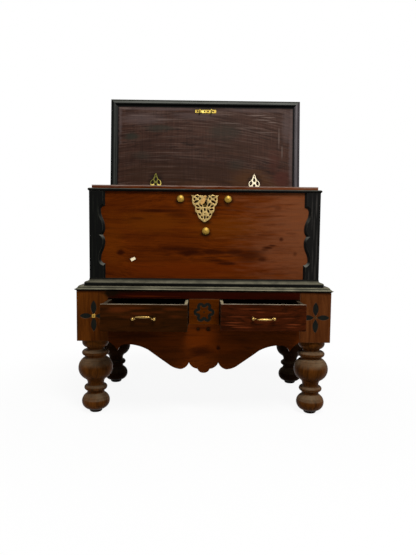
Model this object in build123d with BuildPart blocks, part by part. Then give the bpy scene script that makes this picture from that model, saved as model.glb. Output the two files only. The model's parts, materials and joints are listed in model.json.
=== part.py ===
"""Dowry chest on a two-drawer stand.

A plank chest with black mouldings and scalloped corner pilasters stands on a
joined stand with two drawers, a scalloped apron and four turned legs. The lid
is open, leaning back on its own rear overhang, and both drawers are part open.

Millimetres, +Z up, front towards -Y. The origin is on the floor, under the
middle of the whole piece as it stands with lid and drawers open.
"""
import os
from math import cos, hypot, radians, sin, sqrt

from build123d import *

os.makedirs("parts", exist_ok=True)

# ---------------------------------------------------------------- sizes
# stand
stand_front_y = -190.5
stand_half_width = 538.0
stand_depth = 575.0
stand_bottom_z = 323.0
stand_top_z = 538.0
board_thickness = 25.0
top_board_top_z = 560.0

# drawer openings in the stand front
opening_inner_x = 63.5
opening_outer_x = 405.5
opening_bottom_z = 398.0
opening_top_z = 506.5

# drawers
drawer_middle_x = 234.5
drawer_half_width = 169.0
drawer_bottom_z = 398.2
drawer_top_z = 503.5
drawer_front_thickness = 20.0
drawer_side_thickness = 12.0
drawer_length = 480.0
pull_of = {"left": 171.5, "right": 141.5}

# drawer handles
post_spacing = 83.0
ball_radius = 7.0
ball_reach = 13.0
bail_reach = 25.0
bail_rise_of = {"left": 27.0, "right": 3.0}
handle_z = 449.0

# legs
leg_x_of = {"front": 472.5, "rear": 463.5}
leg_inset = 63.0
dowel_radius = 18.0
dowel_length = 60.0

# chest
case_half_width = 477.0
case_front_y = stand_front_y + 32.5
case_back_y = stand_front_y + 522.0
case_top_z = 982.0
base_moulding_top_z = 590.0
rim_moulding_bottom_z = 956.0
rim_moulding_top_z = 968.5
pilaster_thickness = 10.0
pilaster_width = 66.0

# lid, in its own plane: x across, y from the hinge pin to the front edge
lid_half_width = 492.8
lid_reach = 500.0
lid_overhang = 16.0
lid_rail_width = 35.0
lid_thickness = 30.0
lid_lean = 4.6
panel_recess = 10.0
panel_thickness = 14.0

# lid hinges
hinge_x = 257.5
pin_radius = 2.0
pin_y = case_back_y + 0.8
pin_z = case_top_z + 0.3
knuckle_radius = 5.0
knuckle_length = 16.0
leaf_thickness = 2.0

# lock, keyhole cover and front studs
lock_top_z = 981.5
lock_height = 100.0
lock_width = 110.0
lock_depth = 34.0
lock_wall = 2.0
staple_spacing = 60.0
staple_reach = 445.0
escutcheon_x = -1.5
escutcheon_thickness = 1.6
escutcheon_bottom_z = 830.5
keyhole_z = 900.0
cover_pivot_x = -0.5
cover_pivot_z = 935.0
cover_thickness = 1.5
cover_swing = 28.0
stud_places = ((-104.0, 928.0), (97.0, 928.0), (4.0, 793.0))

# running and seating clearances
gap = 0.3
glue_line = 0.05

# ------------------------------------------------------- derived places
stand_back_y = stand_front_y + stand_depth
frame_back_y = stand_back_y - board_thickness
frame_front_y = stand_front_y + board_thickness
case_inner_front_y = case_front_y + board_thickness
case_inner_back_y = case_back_y - board_thickness
case_inner_x = case_half_width - board_thickness
post_x = post_spacing / 2
SIDES = ((-1, "left"), (1, "right"))

lean = radians(lid_lean)
lid_plane = Plane(
    origin=(0, pin_y, pin_z), x_dir=(1, 0, 0), z_dir=(0, -cos(lean), sin(lean))
)


# ----------------------------------------------------------- mouldings
# A moulding's section lies with X outwards from its reference line and Y up.
# Runs go round the piece anticlockwise seen from above, outside to the right.
def moulding(section, base, start, end, mitres=(True, True)):
    """One straight run of a moulding from start to end, points in the base plane."""
    first, last = Vector(*start), Vector(*end)
    along = (last - first).normalized()
    outwards = Vector(along.Y, -along.X)
    margin = 60.0 if any(mitres) else 0.0
    before = margin if mitres[0] else 0.0
    after = margin if mitres[1] else 0.0

    def place(point):
        return base.from_local_coords(point)

    def turn(direction):
        return place(direction) - base.origin

    far_end = Plane(
        origin=place(last + along * after), x_dir=turn(outwards), z_dir=turn(along * -1)
    )
    length = (last - first).length + before + after
    with BuildPart() as run:
        extrude(section(far_end), amount=length)
        if mitres[0]:
            split(bisect_by=Plane(origin=place(first), z_dir=turn(along + outwards)))
        if mitres[1]:
            split(bisect_by=Plane(origin=place(last), z_dir=turn(outwards - along)))
    return run.part


def waist_section(plane):
    """Moulding round the stand top: a quirk, a swelling ogee and a sharp lip."""
    with BuildSketch(plane) as section:
        with BuildLine():
            Polyline(
                (-12, stand_top_z),
                (0, stand_top_z),
                (6.8, stand_top_z + 5),
                (7.5, stand_top_z + 6.5),
            )
            ThreePointArc(
                (7.5, stand_top_z + 6.5), (2.6, stand_top_z + 8.4), (-1.6, stand_top_z + 12.2)
            )
            Line((-1.6, stand_top_z + 12.2), (-3.6, stand_top_z + 12.2))
            ThreePointArc(
                (-3.6, stand_top_z + 12.2), (-6.2, stand_top_z + 17.6), (-12, top_board_top_z)
            )
            Line((-12, top_board_top_z), (-12, stand_top_z))
        make_face()
    return section.sketch


def base_section(plane):
    """Chest base moulding: a fascia, a quarter round and a tall cavetto."""
    low = top_board_top_z
    with BuildSketch(plane) as section:
        with BuildLine():
            Polyline((0, low), (28, low), (29, low + 10.5), (28.5, low + 12))
            ThreePointArc((28.5, low + 12), (26, low + 15.3), (21.5, low + 16.6))
            ThreePointArc((21.5, low + 16.6), (16.6, low + 17.7), (13.8, low + 20.2))
            Line((13.8, low + 20.2), (12.6, low + 20.2))
            ThreePointArc(
                (12.6, low + 20.2), (11, low + 24.6), (10.5, base_moulding_top_z)
            )
            Polyline((10.5, base_moulding_top_z), (0, base_moulding_top_z), (0, low))
        make_face()
    return section.sketch


def rim_section(plane):
    """Moulding under the chest lip: a rounded nose over a short ogee."""
    low, top = rim_moulding_bottom_z, rim_moulding_top_z
    with BuildSketch(plane) as section:
        with BuildLine():
            Line((0, low), (10.6, low))
            ThreePointArc((10.6, low), (11.2, low + 1.5), (12.6, low + 2.3))
            ThreePointArc((12.6, low + 2.3), (14.8, low + 6.6), (12.4, top - 1.6))
            Polyline((12.4, top - 1.6), (9, top), (0, top), (0, low))
        make_face()
    return section.sketch


def lid_rail_section(plane):
    """Lid rail: swelling face, stepped and hollowed down to the panel groove."""
    groove_floor = lid_rail_width - 8
    with BuildSketch(plane) as section:
        with BuildLine():
            ThreePointArc((-1, -2), (-12.5, 0), (-24, -2))
            Line((-24, -2), (-25, -5))
            ThreePointArc((-25, -5), (-29, -8.4), (-lid_rail_width, -panel_recess))
            Polyline(
                (-lid_rail_width, -panel_recess),
                (-groove_floor, -panel_recess),
                (-groove_floor, -panel_recess - panel_thickness),
                (-lid_rail_width, -panel_recess - panel_thickness),
                (-lid_rail_width, -lid_thickness),
                (-7, -lid_thickness),
            )
            ThreePointArc(
                (-7, -lid_thickness), (-2.5, -lid_thickness + 2), (0, -lid_thickness + 7)
            )
            Polyline((0, -lid_thickness + 7), (0, -3.5), (-1, -2))
        make_face()
    return section.sketch


# ---------------------------------------------------------------- stand
# The four legs are one turning: cap, ring, big ball, bead, small ball and foot.
for end, leg_y in (
    ("front", stand_front_y + leg_inset),
    ("rear", stand_back_y - leg_inset),
):
    for side, hand in SIDES:
        leg_x = side * leg_x_of[end]
        axis_plane = Plane(origin=(leg_x, leg_y, 0), x_dir=(1, 0, 0), z_dir=(0, -1, 0))
        with BuildPart() as leg:
            with BuildSketch(axis_plane):
                with BuildLine():
                    Polyline(
                        (0, stand_bottom_z + dowel_length),
                        (dowel_radius, stand_bottom_z + dowel_length),
                        (dowel_radius, stand_bottom_z),
                        (57, stand_bottom_z),
                        (57, 306),
                    )
                    ThreePointArc((57, 306), (51, 294), (40, 287))
                    ThreePointArc((40, 287), (36.5, 280), (42, 273.5))
                    ThreePointArc((42, 273.5), (58, 262), (48, 250.5))
                    ThreePointArc((48, 250.5), (45.5, 246), (49, 240.5))
                    ThreePointArc((49, 240.5), (73.5, 189), (47, 149))
                    ThreePointArc((47, 149), (36, 133.5), (37, 119))
                    ThreePointArc((37, 119), (49.5, 108), (40, 97))
                    ThreePointArc((40, 97), (36.8, 88.5), (41, 79.5))
                    ThreePointArc((41, 79.5), (60, 46), (34, 12.5))
                    Line((34, 12.5), (28.5, 9.5))
                    ThreePointArc((28.5, 9.5), (27.6, 4), (24.5, 0))
                    Line((24.5, 0), (0, 0))
                    Line((0, 0), (0, stand_bottom_z + dowel_length))
                make_face()
            revolve(axis=Axis((leg_x, leg_y, 0), (0, 0, 1)))
        leg.part.label = f"leg_{end}_{hand}"
        export_step(leg.part, f"parts/leg_{end}_{hand}.step")

# Corner blocks stand behind the stiles and take the legs' dowels.
block_outer_x = stand_half_width - board_thickness
block_width = 95.0
with BuildPart() as corner_blocks:
    for end, leg_y, block_y in (
        ("front", stand_front_y + leg_inset, frame_front_y + block_width / 2),
        ("rear", stand_back_y - leg_inset, frame_back_y - block_width / 2),
    ):
        for side, hand in SIDES:
            middle_x = side * (block_outer_x - block_width / 2)
            with BuildSketch(Plane.XY.offset(stand_bottom_z)):
                with Locations((middle_x, block_y)):
                    Rectangle(block_width, block_width)
            extrude(amount=stand_top_z - stand_bottom_z)
            with BuildSketch(Plane.XY.offset(stand_bottom_z)):
                with Locations((side * leg_x_of[end], leg_y)):
                    Circle(dowel_radius + glue_line)
            extrude(amount=dowel_length + 1, mode=Mode.SUBTRACT)
corner_blocks.part.label = "stand_corner_blocks"
export_step(corner_blocks.part, "parts/stand_corner_blocks.step")

# Inlays are let into the stiles and the middle block by this much.
inlay_depth = 3.0
flower_x_of = {"left": 466.0, "right": 473.0}
flower_z = 430.5
petal_start = 8.0
level_petal_end, upright_petal_end = 59.0, 65.0
level_petal_width, upright_petal_width = 21.0, 23.0
rosette_z = 450.0
rosette_lobe_radius = 16.0
rosette_lobe_offset = 28.0
rosette_band = 12.0


def lens_petals(side, hand):
    """Four lens-shaped petals in a cross, drawn arc by arc on the stand front."""
    centre = Vector(side * flower_x_of[hand], flower_z)
    level = (level_petal_end, level_petal_width)
    upright = (upright_petal_end, upright_petal_width)
    with BuildSketch(Plane.XZ.offset(-stand_front_y)) as petals:
        for turn, (end, width) in ((0, level), (90, upright), (180, level), (270, upright)):
            middle = (petal_start + end) / 2
            with BuildLine():
                tips = [
                    Vector(radius, 0).rotate(Axis.Z, turn) + centre
                    for radius in (petal_start, end)
                ]
                bulges = [
                    Vector(middle, bulge).rotate(Axis.Z, turn) + centre
                    for bulge in (width / 2, -width / 2)
                ]
                ThreePointArc(tips[0], bulges[0], tips[1])
                ThreePointArc(tips[1], bulges[1], tips[0])
            make_face()
    return petals.sketch


def rosette_band_sketch():
    """Six-lobed outline band on the middle block."""
    with BuildSketch(Plane.XZ.offset(-stand_front_y)) as rosette:
        with Locations((0, rosette_z)):
            Circle(rosette_lobe_offset)
            with PolarLocations(rosette_lobe_offset, 6):
                Circle(rosette_lobe_radius)
        offset(amount=-rosette_band, mode=Mode.SUBTRACT)
    return rosette.sketch


for side, hand in SIDES:
    middle_x = side * (stand_half_width + opening_outer_x) / 2
    with BuildPart() as stile:
        with BuildSketch(Plane.XY.offset(stand_bottom_z)):
            with Locations((middle_x, stand_front_y + board_thickness / 2)):
                Rectangle(stand_half_width - opening_outer_x, board_thickness)
        extrude(amount=stand_top_z - stand_bottom_z)
        extrude(lens_petals(side, hand), amount=-inlay_depth, mode=Mode.SUBTRACT)
    stile.part.label = f"stand_stile_{hand}"
    export_step(stile.part, f"parts/stand_stile_{hand}.step")

with BuildPart() as stile_inlays:
    for side, hand in SIDES:
        extrude(lens_petals(side, hand), amount=-inlay_depth)
stile_inlays.part.label = "stile_inlays"
export_step(stile_inlays.part, "parts/stile_inlays.step")

# A flat brass stud covers the middle of the left flower only.
boss_half_width = 8.0
boss_thickness = 2.5
with BuildPart() as stile_boss:
    with BuildSketch(Plane.XZ.offset(-stand_front_y)):
        with Locations((-flower_x_of["left"], flower_z)):
            RectangleRounded(2 * boss_half_width, 2 * boss_half_width, 4)
            Circle(2.2, mode=Mode.SUBTRACT)
    extrude(amount=boss_thickness)
    chamfer(stile_boss.faces().sort_by(Axis.Y)[0].outer_wire().edges(), 1.0)
stile_boss.part.label = "stile_boss"
export_step(stile_boss.part, "parts/stile_boss.step")

with BuildPart() as top_rail:
    with BuildSketch(Plane.XZ.offset(-stand_front_y)):
        with Locations((0, (opening_top_z + stand_top_z) / 2)):
            Rectangle(2 * opening_outer_x, stand_top_z - opening_top_z)
    extrude(amount=-board_thickness)
top_rail.part.label = "stand_top_rail"
export_step(top_rail.part, "parts/stand_top_rail.step")

with BuildPart() as middle_block:
    with BuildSketch(Plane.XZ.offset(-stand_front_y)):
        with Locations((0, (opening_bottom_z + opening_top_z) / 2)):
            Rectangle(2 * opening_inner_x, opening_top_z - opening_bottom_z)
    extrude(amount=-board_thickness)
    extrude(rosette_band_sketch(), amount=-inlay_depth, mode=Mode.SUBTRACT)
middle_block.part.label = "stand_middle_block"
export_step(middle_block.part, "parts/stand_middle_block.step")

with BuildPart() as rosette_inlay:
    extrude(rosette_band_sketch(), amount=-inlay_depth)
rosette_inlay.part.label = "rosette_inlay"
export_step(rosette_inlay.part, "parts/rosette_inlay.step")

# The apron's lower edge, right half, mirrored: a round pendant, two stepped
# lobes, a long rise to the arch, and a small tooth beside the stile.
peg_hole_radius = 4.0
peg_hole_z = 379.5
with BuildPart() as apron:
    with BuildSketch(Plane.XZ.offset(-stand_front_y)) as apron_face:
        with BuildLine():
            Line((0, opening_bottom_z), (opening_outer_x, opening_bottom_z))
            Line((opening_outer_x, opening_bottom_z), (opening_outer_x, stand_bottom_z))
            ThreePointArc((opening_outer_x, stand_bottom_z), (381, 304), (365, 283.5))
            ThreePointArc((365, 283.5), (355, 301), (337, 310.5))
            ThreePointArc((337, 310.5), (285, 305.5), (236.6, 287.4))
            ThreePointArc((236.6, 287.4), (192, 255), (148, 224.1))
            ThreePointArc((148, 224.1), (124, 210.5), (97, 204.8))
            ThreePointArc((97, 204.8), (76.5, 214), (62.6, 234))
            ThreePointArc((62.6, 234), (50, 216.5), (26, 207))
            ThreePointArc((26, 207), (16, 193.5), (0, 189.5))
            Line((0, 189.5), (0, opening_bottom_z))
        make_face()
        mirror(about=Plane.YZ)
        with Locations((-25, peg_hole_z), (18, peg_hole_z)):
            Circle(peg_hole_radius, mode=Mode.SUBTRACT)
    extrude(amount=-board_thickness)
apron.part.label = "stand_apron"
export_step(apron.part, "parts/stand_apron.step")

for side, hand in SIDES:
    with BuildPart() as side_board:
        with BuildSketch(Plane.XY.offset(stand_bottom_z)):
            with Locations((side * (stand_half_width - board_thickness / 2), frame_front_y)):
                Rectangle(
                    board_thickness,
                    frame_back_y - frame_front_y,
                    align=(Align.CENTER, Align.MIN),
                )
        extrude(amount=stand_top_z - stand_bottom_z)
    side_board.part.label = f"stand_side_{hand}"
    export_step(side_board.part, f"parts/stand_side_{hand}.step")

with BuildPart() as stand_back:
    with BuildSketch(Plane.XY.offset(stand_bottom_z)):
        with Locations((0, stand_back_y - board_thickness / 2)):
            Rectangle(2 * stand_half_width, board_thickness)
    extrude(amount=stand_top_z - stand_bottom_z)
stand_back.part.label = "stand_back"
export_step(stand_back.part, "parts/stand_back.step")

# The top board lies inside the moulding, flush with the stand's back.
moulding_width = 12.0
with BuildPart() as top_board:
    with BuildSketch(Plane.XY.offset(stand_top_z)):
        with Locations((0, stand_front_y + moulding_width)):
            Rectangle(
                2 * (stand_half_width - moulding_width),
                stand_depth - moulding_width,
                align=(Align.CENTER, Align.MIN),
            )
    extrude(amount=top_board_top_z - stand_top_z)
top_board.part.label = "stand_top_board"
export_step(top_board.part, "parts/stand_top_board.step")


def wrap_three_sides(section, half_width, front_y, back_y, name):
    """A front run with both ends mitred, and two side runs square at the back."""
    front = moulding(section, Plane.XY, (-half_width, front_y), (half_width, front_y))
    left = moulding(
        section, Plane.XY, (-half_width, back_y), (-half_width, front_y), (False, True)
    )
    with BuildPart() as front_run:
        add(front)
    with BuildPart() as side_runs:
        add(left)
        mirror(about=Plane.YZ)
    front_run.part.label = f"{name}_front"
    export_step(front_run.part, f"parts/{name}_front.step")
    side_runs.part.label = f"{name}_sides"
    export_step(side_runs.part, f"parts/{name}_sides.step")


wrap_three_sides(
    waist_section, stand_half_width, stand_front_y, stand_back_y, "waist_moulding"
)

# Each runner is a bearer under one drawer side with a guide beside it.
runner_height = 25.0
guide_width = 8.0
bearer_width = 32.0
with BuildPart() as runners:
    for guide_face_x, outward in (
        (opening_outer_x - 1, 1),
        (opening_inner_x + 1, -1),
    ):
        with BuildSketch(Plane.XZ.offset(-frame_front_y)) as runner_end:
            with BuildLine():
                Polyline(
                    (guide_face_x, opening_bottom_z),
                    (guide_face_x, opening_bottom_z + runner_height),
                    (guide_face_x + outward * guide_width, opening_bottom_z + runner_height),
                    (guide_face_x + outward * guide_width, opening_bottom_z - runner_height),
                    (guide_face_x - outward * bearer_width, opening_bottom_z - runner_height),
                    (guide_face_x - outward * bearer_width, opening_bottom_z),
                    close=True,
                )
            make_face()
            mirror(about=Plane.YZ)
        extrude(amount=-(frame_back_y - frame_front_y))
runners.part.label = "drawer_runners"
export_step(runners.part, "parts/drawer_runners.step")

# -------------------------------------------------------------- drawers
bottom_thickness = 8.0
bottom_groove = 5.0
bottom_z = drawer_bottom_z + 8.0
back_height = 82.0
shank_radius = 3.0
shank_length = 17.0
neck_radius = 3.2
ball_back = sqrt(ball_radius**2 - neck_radius**2)
bail_radius = 2.4
bail_pin_radius = 2.0
grip_half_length = 26.0
grip_radius = 4.4

for side, hand in SIDES:
    middle_x = side * drawer_middle_x
    face_y = stand_front_y - pull_of[hand]
    inside_y = face_y + drawer_front_thickness
    back_y = face_y + drawer_length
    side_height = drawer_top_z - 2 - drawer_bottom_z
    side_outer = drawer_half_width - 1
    side_inner = side_outer - drawer_side_thickness
    handle_plane = Plane(
        origin=(middle_x, face_y, handle_z), x_dir=(1, 0, 0), z_dir=(0, -1, 0)
    )

    with BuildPart() as drawer_front:
        with BuildSketch(Plane.XZ.offset(-face_y)):
            with Locations((middle_x, (drawer_bottom_z + drawer_top_z) / 2)):
                Rectangle(2 * drawer_half_width, drawer_top_z - drawer_bottom_z)
        extrude(amount=-drawer_front_thickness)
        with BuildSketch(Plane.XZ.offset(-inside_y)):
            with Locations((middle_x, bottom_z + bottom_thickness / 2)):
                Rectangle(2 * (side_inner + bottom_groove), bottom_thickness)
        extrude(amount=bottom_groove, mode=Mode.SUBTRACT)
        with BuildSketch(handle_plane):
            with Locations((-post_x, 0), (post_x, 0)):
                Circle(shank_radius + glue_line)
        extrude(amount=-shank_length, mode=Mode.SUBTRACT)
    drawer_front.part.label = f"drawer_{hand}_front"
    export_step(drawer_front.part, f"parts/drawer_{hand}_front.step")

    with BuildPart() as drawer_sides:
        with BuildSketch(Plane.XZ.offset(-inside_y)):
            with Locations(
                (middle_x - side_outer, drawer_bottom_z),
                (middle_x + side_inner, drawer_bottom_z),
            ):
                Rectangle(
                    drawer_side_thickness, side_height, align=(Align.MIN, Align.MIN)
                )
            with Locations((middle_x, bottom_z)):
                Rectangle(
                    2 * (side_inner + bottom_groove),
                    bottom_thickness,
                    align=(Align.CENTER, Align.MIN),
                    mode=Mode.SUBTRACT,
                )
        extrude(amount=-(drawer_length - drawer_front_thickness))
    drawer_sides.part.label = f"drawer_{hand}_sides"
    export_step(drawer_sides.part, f"parts/drawer_{hand}_sides.step")

    with BuildPart() as drawer_back:
        with BuildSketch(Plane.XZ.offset(-back_y)):
            with Locations((middle_x, bottom_z + bottom_thickness)):
                Rectangle(2 * side_inner, back_height, align=(Align.CENTER, Align.MIN))
        extrude(amount=drawer_side_thickness)
    drawer_back.part.label = f"drawer_{hand}_back"
    export_step(drawer_back.part, f"parts/drawer_{hand}_back.step")

    with BuildPart() as drawer_bottom:
        with BuildSketch(Plane.XY.offset(bottom_z)):
            with Locations((middle_x, inside_y - bottom_groove)):
                Rectangle(
                    2 * (side_inner + bottom_groove),
                    back_y - inside_y + bottom_groove,
                    align=(Align.CENTER, Align.MIN),
                )
        extrude(amount=bottom_thickness)
    drawer_bottom.part.label = f"drawer_{hand}_bottom"
    export_step(drawer_bottom.part, f"parts/drawer_{hand}_bottom.step")

    # Ball posts: a shank in the wood, a flange, a neck and a drilled ball.
    with BuildPart() as handle_posts:
        for post_side in (-1, 1):
            post_axis_x = middle_x + post_side * post_x
            post_plane = Plane(
                origin=(post_axis_x, face_y, handle_z), x_dir=(0, 0, 1), z_dir=(-1, 0, 0)
            )
            with BuildSketch(post_plane):
                with BuildLine():
                    Polyline(
                        (0, shank_length - 1),
                        (shank_radius, shank_length - 1),
                        (shank_radius, 0),
                        (6, 0),
                        (5.4, -1.6),
                        (3.4, -2.4),
                        (neck_radius, ball_back - ball_reach),
                    )
                    ThreePointArc(
                        (neck_radius, ball_back - ball_reach),
                        (ball_radius, -ball_reach),
                        (0, -ball_reach - ball_radius),
                    )
                    Line((0, -ball_reach - ball_radius), (0, shank_length - 1))
                make_face()
            revolve(axis=Axis((post_axis_x, face_y, handle_z), (0, 1, 0)))
            with BuildSketch(
                Plane.YZ.offset(middle_x + post_side * (post_x - ball_radius - 1))
            ):
                with Locations((face_y - ball_reach, handle_z)):
                    Circle(bail_pin_radius + glue_line)
            extrude(amount=post_side * (ball_radius + 1.5), mode=Mode.SUBTRACT)
    handle_posts.part.label = f"drawer_{hand}_handle_posts"
    export_step(handle_posts.part, f"parts/drawer_{hand}_handle_posts.step")

    # The bail is bent rod with a swelling grip; its pins turn in the balls.
    rise = radians(bail_rise_of[hand])
    bail_plane = Plane(
        origin=(middle_x, face_y - ball_reach, handle_z),
        x_dir=(1, 0, 0),
        z_dir=(0, sin(rise), cos(rise)),
    )
    shoulder_x = post_x - ball_radius - 0.5
    arm_x = 29.0
    with BuildPart() as bail:
        with BuildLine(bail_plane):
            FilletPolyline(
                (-shoulder_x, 0),
                (-arm_x, 0),
                (-arm_x, -bail_reach),
                (arm_x, -bail_reach),
                (arm_x, 0),
                (shoulder_x, 0),
                radius=[3.5, 7, 7, 3.5],
            )
        with BuildSketch(
            Plane(
                origin=bail_plane.from_local_coords((-shoulder_x, 0)),
                x_dir=bail_plane.y_dir,
                z_dir=(1, 0, 0),
            )
        ):
            Circle(bail_radius)
        sweep()
        with BuildSketch(bail_plane):
            with BuildLine():
                Polyline(
                    (-grip_half_length, -bail_reach),
                    (-grip_half_length, bail_radius - bail_reach),
                )
                ThreePointArc(
                    (-grip_half_length, bail_radius - bail_reach),
                    (0, grip_radius - bail_reach),
                    (grip_half_length, bail_radius - bail_reach),
                )
                Polyline(
                    (grip_half_length, bail_radius - bail_reach),
                    (grip_half_length, -bail_reach),
                    (-grip_half_length, -bail_reach),
                )
            make_face()
        revolve(axis=Axis(bail_plane.from_local_coords((0, -bail_reach)), (1, 0, 0)))
        for end in (-1, 1):
            with BuildSketch(Plane.YZ.offset(middle_x + end * (shoulder_x - 1))):
                with Locations((face_y - ball_reach, handle_z)):
                    Circle(bail_pin_radius)
            extrude(amount=end * (ball_radius + 1))
    bail.part.label = f"drawer_{hand}_bail"
    export_step(bail.part, f"parts/drawer_{hand}_bail.step")

# ------------------------------------------------------------ chest case
stud_shank_radius = 2.5
stud_shank_length = 15.0
with BuildPart() as case_front:
    with BuildSketch(Plane.XZ.offset(-case_front_y)):
        with Locations((0, top_board_top_z)):
            Rectangle(
                2 * case_half_width,
                case_top_z - top_board_top_z,
                align=(Align.CENTER, Align.MIN),
            )
        with Locations(*stud_places):
            Circle(stud_shank_radius + glue_line, mode=Mode.SUBTRACT)
        with Locations((escutcheon_x, keyhole_z + 9)):
            Circle(6, mode=Mode.SUBTRACT)
        with Locations((escutcheon_x, keyhole_z - 1)):
            Rectangle(7, 22, mode=Mode.SUBTRACT)
        with Locations((cover_pivot_x, cover_pivot_z)):
            Circle(1.5 + glue_line, mode=Mode.SUBTRACT)
    extrude(amount=-board_thickness)
case_front.part.label = "case_front_board"
export_step(case_front.part, "parts/case_front_board.step")

# The back board is notched for the hinge knuckles and let in for the leaves.
case_leaf_width = 46.0
case_leaf_drop = 62.0
notch_half_width = 1.5 * knuckle_length + 1.5
notch_radius = knuckle_radius + 0.6
with BuildPart() as case_back:
    with BuildSketch(Plane.XZ.offset(-case_back_y)):
        with Locations((0, top_board_top_z)):
            Rectangle(
                2 * case_half_width,
                case_top_z - top_board_top_z,
                align=(Align.CENTER, Align.MIN),
            )
    extrude(amount=board_thickness)
    with BuildSketch(Plane.XZ.offset(-case_back_y)):
        with Locations((-hinge_x, case_top_z), (hinge_x, case_top_z)):
            Rectangle(case_leaf_width, case_leaf_drop, align=(Align.CENTER, Align.MAX))
    extrude(amount=leaf_thickness, mode=Mode.SUBTRACT)
    for side, hand in SIDES:
        with BuildSketch(Plane.YZ.offset(side * hinge_x)):
            with Locations((pin_y, pin_z)):
                Circle(notch_radius)
        extrude(amount=notch_half_width, both=True, mode=Mode.SUBTRACT)
case_back.part.label = "case_back_board"
export_step(case_back.part, "parts/case_back_board.step")

for side, hand in SIDES:
    with BuildPart() as case_side:
        with BuildSketch(Plane.XY.offset(top_board_top_z)):
            with Locations(
                (side * (case_half_width - board_thickness / 2), case_inner_front_y)
            ):
                Rectangle(
                    board_thickness,
                    case_inner_back_y - case_inner_front_y,
                    align=(Align.CENTER, Align.MIN),
                )
        extrude(amount=case_top_z - top_board_top_z)
    case_side.part.label = f"case_side_{hand}"
    export_step(case_side.part, f"parts/case_side_{hand}.step")

case_bottom_thickness = 18.0
case_bottom_z = top_board_top_z + 4.0
with BuildPart() as case_bottom:
    with BuildSketch(Plane.XY.offset(case_bottom_z)):
        with Locations((0, case_inner_front_y)):
            Rectangle(
                2 * case_inner_x,
                case_inner_back_y - case_inner_front_y,
                align=(Align.CENTER, Align.MIN),
            )
    extrude(amount=case_bottom_thickness)
case_bottom.part.label = "case_bottom_board"
export_step(case_bottom.part, "parts/case_bottom_board.step")

wrap_three_sides(
    base_section, case_half_width, case_front_y, case_back_y, "base_moulding"
)
wrap_three_sides(
    rim_section, case_half_width, case_front_y, case_back_y, "rim_moulding"
)

# Corner pilasters: a scalloped, bevelled strip on the front and one on the
# side. The scallop is the same above and below the middle of its height.
pilaster_middle_z = (base_moulding_top_z + rim_moulding_bottom_z) / 2
pilaster_half_height = (rim_moulding_bottom_z - base_moulding_top_z) / 2
pilaster_outer_x = case_half_width + pilaster_thickness
pilaster_edge = 2.5


def scallop_sketch(plane, width):
    """Full outline of a strip; the plane's x runs inwards from the corner edge."""
    with BuildSketch(plane) as outline:
        with BuildLine():
            Polyline((0, 0), (0, pilaster_half_height), (width, pilaster_half_height))
            Line((width, pilaster_half_height), (width, 122))
            ThreePointArc((width, 122), (width - 12.5, 116.5), (width - 18, 101))
            ThreePointArc((width - 18, 101), (width - 15.5, 83.5), (width - 9, 67))
            ThreePointArc((width - 9, 67), (width - 2, 46), (width, 29))
            ThreePointArc((width, 29), (width - 3, 13), (width - 11, 0))
            Line((width - 11, 0), (0, 0))
        make_face()
        mirror(about=Plane.XZ)
    return outline.sketch


def bevelled_sketch(plane, width):
    """The same outline at the front face, drawn in by the 9 mm bevel."""
    with BuildSketch(plane) as outline:
        with BuildLine():
            Polyline((0, 0), (0, pilaster_half_height), (width - 8, pilaster_half_height))
            Line((width - 8, pilaster_half_height), (width - 8, 130))
            ThreePointArc((width - 8, 130), (width - 20, 123.5), (width - 28, 100))
            ThreePointArc((width - 28, 100), (width - 25, 80), (width - 18, 62.5))
            ThreePointArc((width - 18, 62.5), (width - 11.2, 43.5), (width - 9, 28))
            ThreePointArc((width - 9, 28), (width - 13.4, 12.5), (width - 26, 0))
            Line((width - 26, 0), (0, 0))
        make_face()
        mirror(about=Plane.XZ)
    return outline.sketch


for side, hand in SIDES:
    front_plane = Plane(
        origin=(side * pilaster_outer_x, case_front_y, pilaster_middle_z),
        x_dir=(-side, 0, 0),
        z_dir=(0, -1, 0),
    )
    side_plane = Plane(
        origin=(side * case_half_width, case_front_y, pilaster_middle_z),
        x_dir=(0, 1, 0),
        z_dir=(side, 0, 0),
    )
    with BuildPart() as pilaster:
        for plane, width in (
            (front_plane, pilaster_width),
            (side_plane, pilaster_width - pilaster_thickness - 1),
        ):
            extrude(scallop_sketch(plane, width), amount=pilaster_edge)
            loft(
                [
                    scallop_sketch(plane.offset(pilaster_edge), width).face(),
                    bevelled_sketch(plane.offset(pilaster_thickness), width).face(),
                ],
                ruled=True,
            )
    pilaster.part.label = f"pilaster_{hand}"
    export_step(pilaster.part, f"parts/pilaster_{hand}.step")

# ---------------------------------------------------- brass on the front
# Three domed studs: a low dome, a small nib in its middle, a shank behind.
stud_radius = 15.5
nib_radius = 2.2
dome_centre = 15.0
dome_radius = hypot(stud_radius, dome_centre + 1)
dome_middle = dome_centre - sqrt(dome_radius**2 - 9**2)
dome_top = dome_centre - sqrt(dome_radius**2 - nib_radius**2)
with BuildPart() as studs:
    for stud_x, stud_z in stud_places:
        with BuildSketch(
            Plane(origin=(stud_x, case_front_y, stud_z), x_dir=(1, 0, 0), z_dir=(0, 0, 1))
        ):
            with BuildLine():
                Polyline(
                    (0, stud_shank_length),
                    (stud_shank_radius, stud_shank_length),
                    (stud_shank_radius, 0),
                    (stud_radius, 0),
                    (stud_radius, -1),
                )
                ThreePointArc((stud_radius, -1), (9, dome_middle), (nib_radius, dome_top))
                ThreePointArc(
                    (nib_radius, dome_top),
                    (0.8 * nib_radius, dome_top - 0.6 * nib_radius),
                    (0, dome_top - nib_radius),
                )
                Line((0, dome_top - nib_radius), (0, stud_shank_length))
            make_face()
        revolve(axis=Axis((stud_x, case_front_y, stud_z), (0, 1, 0)))
studs.part.label = "case_studs"
export_step(studs.part, "parts/case_studs.step")

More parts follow.
